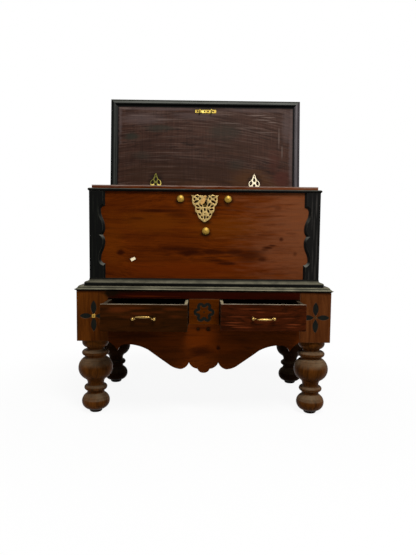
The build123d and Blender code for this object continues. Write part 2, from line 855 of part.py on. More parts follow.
# The escutcheon's outline is drawn for its right half and mirrored.
escutcheon_plane = Plane(
    origin=(escutcheon_x, case_front_y, escutcheon_bottom_z),
    x_dir=(1, 0, 0),
    z_dir=(0, -1, 0),
)
rivet_radius = 1.5
rivet_x = cover_pivot_x - escutcheon_x
rivet_height = cover_pivot_z - escutcheon_bottom_z
keyhole_height = keyhole_z - escutcheon_bottom_z


def pierce_pair(x, height, turn, length, width):
    """A pair of mirrored slots through the escutcheon, turned from level."""
    for mirrored in (1, -1):
        with Locations(Location((mirrored * x, height), mirrored * turn)):
            SlotOverall(length, width, mode=Mode.SUBTRACT)


with BuildPart() as escutcheon:
    with BuildSketch(escutcheon_plane):
        with BuildLine():
            ThreePointArc((0, 0), (9, 4.6), (16.5, 10.8))
            ThreePointArc((16.5, 10.8), (24.3, 17), (28, 26.8))
            ThreePointArc((28, 26.8), (30.4, 31.8), (31, 37.3))
            ThreePointArc((31, 37.3), (38, 43.3), (40, 53.8))
            Line((40, 53.8), (40.4, 65))
            ThreePointArc((40.4, 65), (47, 71.3), (52.4, 81.7))
            ThreePointArc((52.4, 81.7), (53.4, 94), (52.4, 105.8))
            Polyline((52.4, 105.8), (57.8, 113.1), (43, 109.3))
            ThreePointArc((43, 109.3), (31.5, 114.6), (22.5, 108.8))
            Polyline((22.5, 108.8), (18, 112.8), (13.5, 108.8), (0, 110.8), (0, 0))
        make_face()
        mirror(about=Plane.YZ)
        with Locations((33, 105.2), (-33, 105.2)):
            Ellipse(5, 3.9, mode=Mode.SUBTRACT)
        with Locations((43.8, 95.5), (-43.8, 95.5)):
            Ellipse(3.7, 4.3, mode=Mode.SUBTRACT)
        with Locations((21, 96.3), (-21, 96.3)):
            Ellipse(3.4, 4.3, mode=Mode.SUBTRACT)
        with Locations((11.9, 20), (-11.9, 20)):
            Ellipse(2.9, 4.3, mode=Mode.SUBTRACT)
        pierce_pair(35.3, 84.6, -27, 20, 8)
        pierce_pair(29.2, 65.2, 36, 16, 6.6)
        pierce_pair(18.4, 72.5, 57, 17, 7)
        pierce_pair(28.2, 51, 4, 17.5, 6.2)
        pierce_pair(14, 44, -80, 15, 6)
        pierce_pair(21.8, 31, 38, 11, 6.2)
        with Locations((0, 49.6)):
            SlotOverall(12.5, 5.6, rotation=90, mode=Mode.SUBTRACT)
        with Locations((0, 19)):
            SlotOverall(13.5, 5.8, rotation=90, mode=Mode.SUBTRACT)
        with Locations((0, keyhole_height + 10)):
            Circle(8.5, mode=Mode.SUBTRACT)
        with Locations((0, keyhole_height)):
            Rectangle(9.5, 21, mode=Mode.SUBTRACT)
        with Locations((rivet_x, rivet_height)):
            Circle(rivet_radius + glue_line, mode=Mode.SUBTRACT)
    extrude(amount=escutcheon_thickness)
escutcheon.part.label = "escutcheon"
export_step(escutcheon.part, "parts/escutcheon.step")

# The keyhole cover hangs from a headed rivet, swung a little to the left.
swing = radians(cover_swing)
cover_back_y = case_front_y - escutcheon_thickness - gap
cover_front_y = cover_back_y - cover_thickness
with BuildPart() as cover_rivet:
    with BuildSketch(Plane.XZ.offset(-case_inner_front_y + 6)):
        with Locations((cover_pivot_x, cover_pivot_z)):
            Circle(rivet_radius)
    extrude(amount=case_inner_front_y - 6 - cover_front_y + gap)
    with BuildSketch(Plane.XZ.offset(-cover_front_y + gap)):
        with Locations((cover_pivot_x, cover_pivot_z)):
            Circle(3.2)
    extrude(amount=1.8)
    chamfer(cover_rivet.faces().sort_by(Axis.Y)[0].edges(), 0.8)
cover_rivet.part.label = "cover_rivet"
export_step(cover_rivet.part, "parts/cover_rivet.step")

with BuildPart() as keyhole_cover:
    with BuildSketch(
        Plane(
            origin=(cover_pivot_x, cover_back_y, cover_pivot_z),
            x_dir=(cos(swing), 0, -sin(swing)),
            z_dir=(0, -1, 0),
        )
    ):
        with BuildLine():
            Line((0, 5), (3, 7.5))
            Line((3, 7.5), (5.2, 3))
            ThreePointArc((5.2, 3), (4.4, -3.5), (5, -9))
            ThreePointArc((5, -9), (8.4, -20), (7, -28))
            ThreePointArc((7, -28), (4, -33.5), (0, -36))
            Line((0, -36), (0, 5))
        make_face()
        mirror(about=Plane.YZ)
        Circle(rivet_radius + glue_line, mode=Mode.SUBTRACT)
    extrude(amount=cover_thickness)
keyhole_cover.part.label = "keyhole_cover"
export_step(keyhole_cover.part, "parts/keyhole_cover.step")

# ----------------------------------------------------------------- lock
# A sheet case on the inside of the front, slotted above for two staples.
lock_bottom_z = lock_top_z - lock_height
shelf_top_z = lock_bottom_z + 73.5
staple_y = pin_y - staple_reach
staple_x = staple_spacing / 2
with BuildPart() as lock_case:
    with BuildSketch(Plane.XY.offset(lock_bottom_z)):
        with Locations((0, case_inner_front_y)):
            Rectangle(lock_width, lock_depth, align=(Align.CENTER, Align.MIN))
    extrude(amount=lock_height)
    with BuildSketch(Plane.XY.offset(lock_bottom_z + lock_wall)):
        with Locations((0, case_inner_front_y)):
            Rectangle(
                lock_width - 2 * lock_wall,
                lock_depth - lock_wall,
                align=(Align.CENTER, Align.MIN),
            )
    extrude(amount=lock_height - 2 * lock_wall, mode=Mode.SUBTRACT)
    with BuildSketch(Plane.XY.offset(shelf_top_z - lock_wall)):
        with Locations((0, case_inner_front_y)):
            Rectangle(
                lock_width - lock_wall,
                lock_depth - lock_wall / 2,
                align=(Align.CENTER, Align.MIN),
            )
    extrude(amount=lock_wall)
    with BuildSketch(Plane.XY.offset(lock_top_z - lock_wall)):
        with Locations((-staple_x, staple_y), (staple_x, staple_y)):
            Rectangle(8, 20)
    extrude(amount=lock_wall, mode=Mode.SUBTRACT)
lock_case.part.label = "lock_case"
export_step(lock_case.part, "parts/lock_case.step")

# The bolt slides to the right and puts its two noses through the staples.
bolt_low_z = shelf_top_z + 0.1
nose_low_z = lock_top_z - 12
nose_high_z = lock_top_z - 5
with BuildPart() as lock_bolt:
    with BuildSketch(Plane.XZ.offset(-(staple_y + 4))):
        with BuildLine():
            Polyline(
                (-49, bolt_low_z),
                (-49, nose_high_z),
                (-35, nose_high_z),
                (-35, nose_low_z),
                (-45, nose_low_z),
                (-45, bolt_low_z + 5),
                (11, bolt_low_z + 5),
                (11, nose_high_z),
                (25, nose_high_z),
                (25, nose_low_z),
                (15, nose_low_z),
                (15, bolt_low_z),
                (-49, bolt_low_z),
            )
        make_face()
    extrude(amount=8)
lock_bolt.part.label = "lock_bolt"
export_step(lock_bolt.part, "parts/lock_bolt.step")

# --------------------------------------------------------------- hinges
pin_length = 3 * knuckle_length + 2 * gap
bore_radius = pin_radius + glue_line
outer_knuckle_x = knuckle_length + gap
with BuildPart() as hinge_pins:
    for side, hand in SIDES:
        with BuildSketch(Plane.YZ.offset(side * hinge_x)):
            with Locations((pin_y, pin_z)):
                Circle(pin_radius)
        extrude(amount=pin_length / 2, both=True)
hinge_pins.part.label = "hinge_pins"
export_step(hinge_pins.part, "parts/hinge_pins.step")

for side, hand in SIDES:
    middle_x = side * hinge_x
    with BuildPart() as case_leaf:
        with BuildSketch(Plane.XZ.offset(-case_back_y)):
            with Locations((middle_x, case_top_z)):
                Rectangle(
                    case_leaf_width - 0.1,
                    case_leaf_drop,
                    align=(Align.CENTER, Align.MAX),
                )
            with Locations((middle_x - 13, case_top_z - 40), (middle_x + 13, case_top_z - 40)):
                Circle(2.2, mode=Mode.SUBTRACT)
            with Locations((middle_x, case_top_z - 52)):
                Circle(2.2, mode=Mode.SUBTRACT)
        extrude(amount=leaf_thickness)
        for knuckle_x in (middle_x - outer_knuckle_x, middle_x + outer_knuckle_x):
            with BuildSketch(Plane.YZ.offset(knuckle_x)):
                with Locations((pin_y, pin_z)):
                    Circle(knuckle_radius)
            extrude(amount=knuckle_length / 2, both=True)
        with BuildSketch(Plane.YZ.offset(middle_x)):
            with Locations((pin_y, pin_z)):
                Circle(knuckle_radius + 0.6)
        extrude(amount=knuckle_length / 2 + gap, both=True, mode=Mode.SUBTRACT)
        with BuildSketch(Plane.YZ.offset(middle_x)):
            with Locations((pin_y, pin_z)):
                Circle(bore_radius)
        extrude(amount=pin_length, both=True, mode=Mode.SUBTRACT)
    case_leaf.part.label = f"hinge_{hand}_case_leaf"
    export_step(case_leaf.part, f"parts/hinge_{hand}_case_leaf.step")

# ------------------------------------------------------------------ lid
lid_left_front = (-lid_half_width, lid_reach)
lid_right_front = (lid_half_width, lid_reach)
lid_left_back = (-lid_half_width, -lid_overhang)
lid_right_back = (lid_half_width, -lid_overhang)
strap_width = 16.0
strap_end_y = 8.0
with BuildPart() as lid_rail_front:
    add(moulding(lid_rail_section, lid_plane, lid_right_front, lid_left_front))
lid_rail_front.part.label = "lid_rail_front"
export_step(lid_rail_front.part, "parts/lid_rail_front.step")

with BuildPart() as lid_rail_back:
    add(moulding(lid_rail_section, lid_plane, lid_left_back, lid_right_back))
    for side, hand in SIDES:
        with BuildSketch(Plane.YZ.offset(side * hinge_x)):
            with Locations((pin_y, pin_z)):
                Circle(notch_radius)
        extrude(amount=notch_half_width, both=True, mode=Mode.SUBTRACT)
    with BuildSketch(lid_plane):
        with Locations((-hinge_x, 4), (hinge_x, 4)):
            Rectangle(strap_width + 0.1, 2 * strap_end_y + 4)
    extrude(amount=-leaf_thickness, mode=Mode.SUBTRACT)
lid_rail_back.part.label = "lid_rail_back"
export_step(lid_rail_back.part, "parts/lid_rail_back.step")

for side, hand, start, end in (
    (-1, "left", lid_left_front, lid_left_back),
    (1, "right", lid_right_back, lid_right_front),
):
    with BuildPart() as lid_rail_side:
        add(moulding(lid_rail_section, lid_plane, start, end))
    lid_rail_side.part.label = f"lid_rail_{hand}"
    export_step(lid_rail_side.part, f"parts/lid_rail_{hand}.step")

groove_floor = lid_rail_width - 8
with BuildPart() as lid_panel:
    with BuildSketch(lid_plane.offset(-panel_recess)):
        with Locations((0, groove_floor - lid_overhang)):
            Rectangle(
                2 * (lid_half_width - groove_floor),
                lid_reach + lid_overhang - 2 * groove_floor,
                align=(Align.CENTER, Align.MIN),
            )
    extrude(amount=-panel_thickness)
lid_panel.part.label = "lid_panel"
export_step(lid_panel.part, "parts/lid_panel.step")

# Each lid leaf runs from its knuckle over the rail and down to the panel,
# where it opens into a pierced pear shape.
leaf_root_y = 48.0
leaf_back = lid_plane.offset(-panel_recess)
for side, hand in SIDES:
    middle_x = side * hinge_x
    profile_plane = Plane(
        origin=lid_plane.from_local_coords((middle_x, 0)),
        x_dir=lid_plane.y_dir,
        z_dir=(1, 0, 0),
    )
    leaf_plane = Plane(
        origin=leaf_back.from_local_coords((middle_x, leaf_root_y)),
        x_dir=leaf_back.x_dir,
        z_dir=leaf_back.z_dir,
    )
    with BuildPart() as lid_leaf:
        with BuildSketch(profile_plane):
            Circle(knuckle_radius)
            with BuildLine():
                Polyline(
                    (0, 0),
                    (0, -leaf_thickness),
                    (strap_end_y, -leaf_thickness),
                    (21, -panel_recess),
                    (leaf_root_y + 2, -panel_recess),
                    (leaf_root_y + 2, leaf_thickness - panel_recess),
                    (22, leaf_thickness - panel_recess),
                    (strap_end_y + 1, 0),
                    (0, 0),
                )
            make_face()
            Circle(bore_radius, mode=Mode.SUBTRACT)
        extrude(amount=strap_width / 2, both=True)
        with BuildSketch(leaf_plane):
            with BuildLine():
                Polyline((0, -1), (8, -1), (18.2, 0.8))
                ThreePointArc((18.2, 0.8), (25.5, 4), (28.3, 8.5))
                ThreePointArc((28.3, 8.5), (31.2, 13.5), (31.3, 18.6))
                ThreePointArc((31.3, 18.6), (29.8, 25.5), (25.8, 30.5))
                ThreePointArc((25.8, 30.5), (26.2, 36.8), (23.7, 42.7))
                ThreePointArc((23.7, 42.7), (19.5, 50.5), (12.7, 56.7))
                ThreePointArc((12.7, 56.7), (4.8, 64), (0, 72.8))
                Line((0, 72.8), (0, -1))
            make_face()
            mirror(about=Plane.YZ)
            with Locations((0, 40)):
                Ellipse(5.8, 8.4, mode=Mode.SUBTRACT)
            with Locations(Location((17, 24), 104), Location((-17, 24), 76)):
                SlotOverall(20, 8.4, mode=Mode.SUBTRACT)
            with Locations(Location((0, 12.5), 45)):
                Rectangle(9, 9, mode=Mode.SUBTRACT)
            with Locations((0, 57)):
                Circle(2.3, mode=Mode.SUBTRACT)
        extrude(amount=leaf_thickness)
    lid_leaf.part.label = f"hinge_{hand}_lid_leaf"
    export_step(lid_leaf.part, f"parts/hinge_{hand}_lid_leaf.step")

# The strike plate carries the two staples that drop into the lock.
plate_plane = Plane(
    origin=leaf_back.from_local_coords((0, staple_reach)),
    x_dir=leaf_back.x_dir,
    z_dir=leaf_back.z_dir,
)
staple_height = 27.0
staple_width = 15.0
strike_width = 20.0
with BuildPart() as strike_plate:
    with BuildSketch(plate_plane):
        Rectangle(lock_width, strike_width)
        with Locations((-42, 0), (-6, 0), (12, 0), (39, 0)):
            Circle(2.8, mode=Mode.SUBTRACT)
        with BuildLine():
            Polyline(
                (-27, -strike_width / 2),
                (-24, -2),
                (-20, -strike_width / 2),
                (-27, -strike_width / 2),
            )
        make_face(mode=Mode.SUBTRACT)
    extrude(amount=leaf_thickness)
    for staple_side in (-1, 1):
        with BuildSketch(
            Plane(
                origin=plate_plane.from_local_coords((staple_side * staple_x - 2.5, 0)),
                x_dir=lid_plane.y_dir,
                z_dir=(1, 0, 0),
            )
        ):
            with Locations((0, 1)):
                Rectangle(
                    staple_width, staple_height - staple_width / 2, align=(Align.CENTER, Align.MIN)
                )
            with Locations((0, 1 + staple_height - staple_width / 2)):
                Circle(staple_width / 2)
            with Locations((0, 15)):
                Rectangle(9, 9, align=(Align.CENTER, Align.MIN), mode=Mode.SUBTRACT)
        extrude(amount=5)
strike_plate.part.label = "strike_plate"
export_step(strike_plate.part, "parts/strike_plate.step")
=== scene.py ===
"""The looks of the dowry chest: materials, worn edges, turned legs, brass and light."""
from itertools import product
from math import cos, exp, pi, radians, sin

import bmesh
import bpy
from mathutils import Matrix, Vector
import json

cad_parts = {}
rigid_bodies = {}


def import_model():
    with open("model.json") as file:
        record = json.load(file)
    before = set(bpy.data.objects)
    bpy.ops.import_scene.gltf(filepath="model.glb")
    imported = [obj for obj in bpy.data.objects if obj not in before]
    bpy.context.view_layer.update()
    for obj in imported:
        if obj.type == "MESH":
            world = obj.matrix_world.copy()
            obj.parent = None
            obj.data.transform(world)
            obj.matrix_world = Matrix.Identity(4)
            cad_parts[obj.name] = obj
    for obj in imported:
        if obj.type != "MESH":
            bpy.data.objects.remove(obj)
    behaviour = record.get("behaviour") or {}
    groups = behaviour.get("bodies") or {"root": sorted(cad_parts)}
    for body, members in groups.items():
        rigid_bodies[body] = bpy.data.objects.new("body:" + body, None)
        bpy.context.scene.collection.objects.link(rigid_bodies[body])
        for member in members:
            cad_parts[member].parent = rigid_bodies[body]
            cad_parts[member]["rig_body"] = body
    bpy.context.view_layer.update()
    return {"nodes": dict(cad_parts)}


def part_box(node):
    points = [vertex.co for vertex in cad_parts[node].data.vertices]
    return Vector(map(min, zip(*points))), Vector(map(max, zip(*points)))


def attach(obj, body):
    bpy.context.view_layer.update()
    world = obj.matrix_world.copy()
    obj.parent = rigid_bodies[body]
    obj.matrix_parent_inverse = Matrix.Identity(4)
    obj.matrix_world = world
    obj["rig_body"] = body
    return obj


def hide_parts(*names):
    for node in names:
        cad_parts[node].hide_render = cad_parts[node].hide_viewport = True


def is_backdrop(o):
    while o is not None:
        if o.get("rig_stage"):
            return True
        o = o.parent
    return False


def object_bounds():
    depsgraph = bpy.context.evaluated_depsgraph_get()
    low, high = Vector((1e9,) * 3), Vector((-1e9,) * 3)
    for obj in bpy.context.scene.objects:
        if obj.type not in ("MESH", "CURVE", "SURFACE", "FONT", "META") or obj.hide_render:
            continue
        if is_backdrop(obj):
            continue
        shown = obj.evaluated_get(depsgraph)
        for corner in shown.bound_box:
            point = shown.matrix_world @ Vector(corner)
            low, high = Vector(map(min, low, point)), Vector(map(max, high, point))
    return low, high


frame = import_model()
nodes = frame["nodes"]

# ---------------------------------------------------------------- stand boards
# Planed hardwood boards glued into an open box: stiles, rail, middle block and
# shaped apron in front, plain boards at the sides and back, varnished but for the back and the
# inner blocks and runners.


def feed(tree, node, values):
    """Joins sockets to a node's inputs, or sets numbers, vectors and colours on them."""
    for key, value in values.items():
        socket = node.inputs[key]
        if isinstance(value, bpy.types.NodeSocket):
            tree.links.new(value, socket)
        elif socket.type == "RGBA":
            socket.default_value = (*value, 1)
        else:
            socket.default_value = value


def add_node(tree, kind, values=None, **settings):
    """Adds a node, sets its properties and feeds its inputs."""
    node = tree.nodes.new(kind)
    for key, value in settings.items():
        setattr(node, key, value)
    feed(tree, node, values or {})
    return node


def maths(tree, operation, *values, clamp=False):
    """A Math node fed with sockets or numbers."""
    values = dict(enumerate(values))
    node = add_node(tree, "ShaderNodeMath", values, operation=operation, use_clamp=clamp)
    return node.outputs[0]


def object_place(tree):
    """Where a point lies on the object."""
    return add_node(tree, "ShaderNodeTexCoord").outputs["Object"]


def split_vector(tree, vector):
    """The X, Y and Z of a vector."""
    return add_node(tree, "ShaderNodeSeparateXYZ", {0: vector}).outputs


def vector_maths(tree, operation, values, result="Vector"):
    """One result of a Vector Math node."""
    return add_node(tree, "ShaderNodeVectorMath", values, operation=operation).outputs[result]


def blend_colours(tree, factor, first, second, mode="MIX"):
    """A colour Mix node fed with sockets or values."""
    values = {0: factor, 6: first, 7: second}
    node = add_node(tree, "ShaderNodeMix", values, data_type="RGBA", blend_type=mode)
    return node.outputs[2]


def stretch(tree, vector, scale, shift=(0, 0, 0)):
    """Scales and shifts a vector, to draw noise out along the grain."""
    values = {"Vector": vector, "Scale": scale, "Location": shift}
    return add_node(tree, "ShaderNodeMapping", values).outputs["Vector"]


def noise(tree, vector, scale, detail=4.0, roughness=0.55, distortion=0.0):
    """Noise factor at a scale."""
    values = {"Vector": vector, "Scale": scale, "Detail": detail, "Roughness": roughness}
    values["Distortion"] = distortion
    return add_node(tree, "ShaderNodeTexNoise", values).outputs["Fac"]


def ramp(tree, value, low, high, out_low=0.0, out_high=1.0):
    """Maps low..high to out_low..out_high, smoothly and clamped."""
    values = {"Value": value, "From Min": low, "From Max": high}
    values.update({"To Min": out_low, "To Max": out_high})
    node = add_node(tree, "ShaderNodeMapRange", values, interpolation_type="SMOOTHSTEP")
    return node.outputs["Result"]


def new_group(name, inputs, outputs):
    """An empty shader node group with named sockets, its inputs and its end node."""
    tree = bpy.data.node_groups.new(name, "ShaderNodeTree")
    for way, sockets in (("INPUT", inputs), ("OUTPUT", outputs)):
        for label, kind in sockets.items():
            tree.interface.new_socket(label, in_out=way, socket_type=kind)
    return tree, tree.nodes.new("NodeGroupInput").outputs, tree.nodes.new("NodeGroupOutput")


COLOUR, NUMBER, VECTOR = "NodeSocketColor", "NodeSocketFloat", "NodeSocketVector"

# Grain of a plank: growth bands, fine fibres, dark figure and broad patches,
# all drawn out along the vector's X.
grain_group, given, end = new_group(
    "plank grain",
    {
        "Vector": VECTOR, "Dark": COLOUR, "Light": COLOUR, "Figure Colour": COLOUR,
        "Figure": NUMBER, "Streaks": NUMBER, "Band Scale": NUMBER,
    },
    {"Colour": COLOUR, "Roughness": NUMBER, "Height": NUMBER},
)
tree = grain_group
sway = noise(tree, stretch(tree, given["Vector"], (0.9, 1.6, 1.6)), 1.7, 2.0)
sway = maths(tree, "MULTIPLY", maths(tree, "SUBTRACT", sway, 0.5), 0.16)
shift = add_node(tree, "ShaderNodeCombineXYZ", {"Y": sway, "Z": sway}).outputs[0]
along = vector_maths(tree, "ADD", {0: given["Vector"], 1: shift})
along = vector_maths(tree, "SCALE", {0: along, "Scale": given["Band Scale"]})
bands = noise(tree, stretch(tree, along, (0.75, 15, 15)), 1.9, 7.0, 0.62, 0.4)
lines = noise(tree, stretch(tree, along, (2.2, 90, 90)), 1.6, 4.0, 0.6)
streaks = noise(tree, stretch(tree, along, (3.0, 55, 55), (1, 4, 2)), 1.5, 3.0, 0.6)
streaks = maths(tree, "MULTIPLY", ramp(tree, streaks, 0.56, 0.72), given["Streaks"])
fibres = noise(tree, stretch(tree, along, (14, 520, 520)), 1.0, 2.0, 0.5)
patches = noise(tree, stretch(tree, given["Vector"], (1, 1.7, 1.7), (3, 1, 2)), 2.4, 3.0)
figure = noise(tree, stretch(tree, along, (1.1, 7, 7), (5, 2, 1)), 2.1, 6.0, 0.6, 0.8)
figure = maths(tree, "MULTIPLY", ramp(tree, figure, 0.53, 0.74), given["Figure"])
tone = maths(tree, "MULTIPLY", ramp(tree, bands, 0.3, 0.7), 0.5)
tone = maths(tree, "MULTIPLY_ADD", ramp(tree, lines, 0.35, 0.65), 0.36, tone)
tone = maths(tree, "MULTIPLY_ADD", fibres, 0.18, tone)
tone = maths(tree, "MULTIPLY", tone, ramp(tree, patches, 0.25, 0.7, 0.62, 1.12), clamp=True)
colour = blend_colours(tree, tone, given["Dark"], given["Light"])
colour = blend_colours(tree, figure, colour, given["Figure Colour"])
colour = blend_colours(tree, streaks, colour, given["Figure Colour"])
height = maths(tree, "MULTIPLY_ADD", lines, 0.5, maths(tree, "MULTIPLY", fibres, 0.35))
rough = maths(tree, "MULTIPLY_ADD", fibres, 0.22, 0.34)
feed(tree, end, {"Colour": colour, "Roughness": rough, "Height": height})

# Wear, dust and sheen: rubbed arrises take a lighter colour, upward faces hold dust; on the
# ebonised mouldings and pilasters that lighter top is also painted sheen.
wear_group, given, end = new_group(
    "wear, dust and painted sheen",
    {
        "Colour": COLOUR, "Worn": COLOUR, "Wear": NUMBER, "Dust And Sheen Colour": COLOUR, "Dust": NUMBER,
    },
    {"Colour": COLOUR, "Mask": NUMBER},
)
tree = wear_group
place = add_node(tree, "ShaderNodeTexCoord").outputs
arris = add_node(tree, "ShaderNodeAttribute", attribute_name="arris")
rub = ramp(tree, noise(tree, place["Object"], 38, 5.0, 0.65), 0.38, 0.62)
rub = maths(tree, "MULTIPLY", maths(tree, "MULTIPLY", rub, arris.outputs["Fac"]), given["Wear"])
worn = blend_colours(tree, rub, given["Colour"], given["Worn"])
facing = split_vector(tree, place["Normal"])
dust_and_sheen = ramp(tree, facing["Z"], 0.08, 0.6)
clumps = ramp(tree, noise(tree, place["Object"], 17, 6.0, 0.6), 0.3, 0.7, 0.45, 1.0)
dust_and_sheen = maths(tree, "MULTIPLY", maths(tree, "MULTIPLY", dust_and_sheen, clumps), given["Dust"])
dusted_and_sheened = blend_colours(tree, dust_and_sheen, worn, given["Dust And Sheen Colour"])
feed(tree, end, {"Colour": dusted_and_sheened, "Mask": dust_and_sheen})

TURN = {"x": (0, 0, 0), "y": (0, 0, radians(-90)), "z": (0, radians(90), 0)}


def new_material(name):
    """A new material with its tree and its Principled shader."""
    material = bpy.data.materials.new(name)
    material.use_nodes = True
    return material, material.node_tree, material.node_tree.nodes["Principled BSDF"]


def coat(material):
    """A material's tree, its shader and the socket that its colour comes from so far."""
    shader = material.node_tree.nodes["Principled BSDF"]
    return material.node_tree, shader, shader.inputs["Base Color"].links[0].from_socket


def timber(
    name, dark, light, figure_colour, along="x", offset=(0, 0, 0), figure=0.6,
    streaks=0.5, bands=1.0, sweep=0.0, worn=(0.13, 0.06, 0.03), wear=0.6,
    dust_and_sheen_colour=(0.11, 0.09, 0.06), dust=0.35, gloss=0.06, tint=(1, 0.5, 0.15), bump=0.35,
):
    """A wood with its grain along one axis; sweep curves the grain across a board."""
    material, tree, shader = new_material(name)
    place = object_place(tree)
    values = {"Vector": place, "Rotation": TURN[along], "Location": offset}
    turned = add_node(tree, "ShaderNodeMapping", values).outputs["Vector"]
    split = split_vector(tree, turned)
    bowed = maths(tree, "MULTIPLY", split["X"], split["X"])
    bowed = maths(tree, "MULTIPLY_ADD", bowed, sweep, split["Z"])
    joined = add_node(tree, "ShaderNodeCombineXYZ", {"X": split["X"], "Y": split["Y"], "Z": bowed})
    values = {
        "Vector": joined.outputs[0], "Dark": dark, "Light": light,
        "Figure Colour": figure_colour, "Figure": figure, "Streaks": streaks, "Band Scale": bands,
    }
    grain = add_node(tree, "ShaderNodeGroup", values, node_tree=grain_group).outputs
    values = {
        "Colour": grain["Colour"], "Worn": worn, "Wear": wear, "Dust And Sheen Colour": dust_and_sheen_colour,
        "Dust": dust,
    }
    aged = add_node(tree, "ShaderNodeGroup", values, node_tree=wear_group).outputs
    values = {"Strength": bump, "Distance": 0.0006, "Height": grain["Height"]}
    relief = add_node(tree, "ShaderNodeBump", values).outputs["Normal"]
    rough = maths(tree, "MULTIPLY_ADD", aged["Mask"], 0.35, grain["Roughness"])
    values = {"Base Color": aged["Colour"], "Roughness": rough, "Normal": relief}
    feed(tree, shader, {**values, "Specular IOR Level": gloss, "Specular Tint": tint})
    return material


# A soft-edged patch of another colour, ragged along the grain: knots and figure in the wood, and
# also painted shade, shadows and sheen.
patch_group, given, end = new_group(
    "figure and painted light patch",
    {
        "Place": VECTOR, "Grain Vector": VECTOR, "Middle": VECTOR, "Reach": VECTOR,
        "Strength": NUMBER, "Other Patches": NUMBER,
    },
    {"Mask": NUMBER},
)
tree = patch_group
away = vector_maths(tree, "SUBTRACT", {0: given["Place"], 1: given["Middle"]})
share = vector_maths(tree, "DIVIDE", {0: away, 1: given["Reach"]})
distance = vector_maths(tree, "LENGTH", {0: share}, "Value")
ragged = noise(tree, stretch(tree, given["Grain Vector"], (10, 75, 75)), 1.0, 5.0, 0.65)
ragged = maths(tree, "MULTIPLY_ADD", ragged, 1.5, distance)
inside = maths(tree, "MULTIPLY", ramp(tree, ragged, 1.0, 1.85, 1.0, 0.0), given["Strength"])
feed(tree, end, {"Mask": maths(tree, "MAXIMUM", inside, given["Other Patches"])})


def add_patches(material, *layers, along="x", front_only=False):
    """Blends patches into a material, one layer after another. A layer is a colour and
    then its patches: (x, z, half width, half height, strength), in mm."""
    tree, shader, under = coat(material)
    place = add_node(tree, "ShaderNodeTexCoord").outputs
    values = {"Vector": place["Object"], "Rotation": TURN[along]}
    turned = add_node(tree, "ShaderNodeMapping", values).outputs["Vector"]
    for colour, *patches in layers:
        mask = 0.0
        for x, z, half_width, half_height, strength in patches:
            values = {
                "Place": place["Object"], "Grain Vector": turned,
                "Middle": (x / 1000, 0, z / 1000),
                "Reach": (half_width / 1000, 100, half_height / 1000),
                "Strength": strength, "Other Patches": mask,
            }
            mask = add_node(tree, "ShaderNodeGroup", values, node_tree=patch_group).outputs["Mask"]
        if front_only:
            facing = split_vector(tree, place["Normal"])["Y"]
            mask = maths(tree, "MULTIPLY", mask, ramp(tree, facing, -0.6, -0.3, 1, 0))
        under = blend_colours(tree, mask, under, colour)
    feed(tree, shader, {"Base Color": under})


def finished_mesh(ob):
    """Turns an object's modifiers into its mesh and removes them."""
    depsgraph = bpy.context.evaluated_depsgraph_get()
    result = bpy.data.meshes.new_from_object(ob.evaluated_get(depsgraph))
    ob.modifiers.clear()
    ob.data = result
    return ob


def new_piece(name, mesh, material):
    """A new object at the origin with one material."""
    ob = bpy.data.objects.new(name, mesh)
    bpy.context.scene.collection.objects.link(ob)
    if material is not None:
        ob.data.materials.clear()
        ob.data.materials.append(material)
    return ob


def mesh_from(bm, name):
    """Writes a bmesh into a new mesh and frees it."""
    mesh = bpy.data.meshes.new(name)
    bm.to_mesh(mesh)
    bm.free()
    return mesh


def smooth_shade(mesh, angle=35.0):
    """Smooth shading with edges sharper than an angle kept."""
    for polygon in mesh.polygons:
        polygon.use_smooth = True
    mesh.set_sharp_from_angle(angle=radians(angle))


def dress(node, material, arris_width=0.0015, segments=2, angle=32.0, holes=None):
    """Stands for a CAD node: the same shape with its sharp edges rubbed round."""
    bm = bmesh.new()
    bm.from_mesh(nodes[node].data)
    bmesh.ops.remove_doubles(bm, verts=bm.verts, dist=1e-6)
    bmesh.ops.dissolve_limit(bm, angle_limit=radians(0.8), verts=bm.verts, edges=bm.edges)
    mesh = mesh_from(bm, node + "_wood")
    ob = new_piece(node + "_piece", mesh, material)
    ob.data.materials.append(material)
    if holes is not None:
        sawn = ob.modifiers.new("sawn holes", "BOOLEAN")
        sawn.object = holes
        sawn.solver = "EXACT"
    bevel = ob.modifiers.new("rubbed arris", "BEVEL")
    bevel.width = arris_width
    bevel.segments = segments
    bevel.limit_method = "ANGLE"
    bevel.angle_limit = radians(angle)
    bevel.use_clamp_overlap = True
    bevel.material = 1
    weighted = ob.modifiers.new("flat faces stay flat", "WEIGHTED_NORMAL")
    weighted.keep_sharp = True
    smooth_shade(mesh, angle + 6)
    finished_mesh(ob)
    arris = ob.data.attributes.new("arris", "FLOAT", "FACE")
    for polygon in ob.data.polygons:
        arris.data[polygon.index].value = float(polygon.material_index == 1)
        polygon.material_index = 0
    ob.data.materials.pop(index=1)
    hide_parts(node)
    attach(ob, nodes[node]["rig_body"])


stand_dark, stand_light = (0.034, 0.0070, 0.0008), (0.100, 0.027, 0.0032)
stand_figure = (0.012, 0.0018, 0.0004)
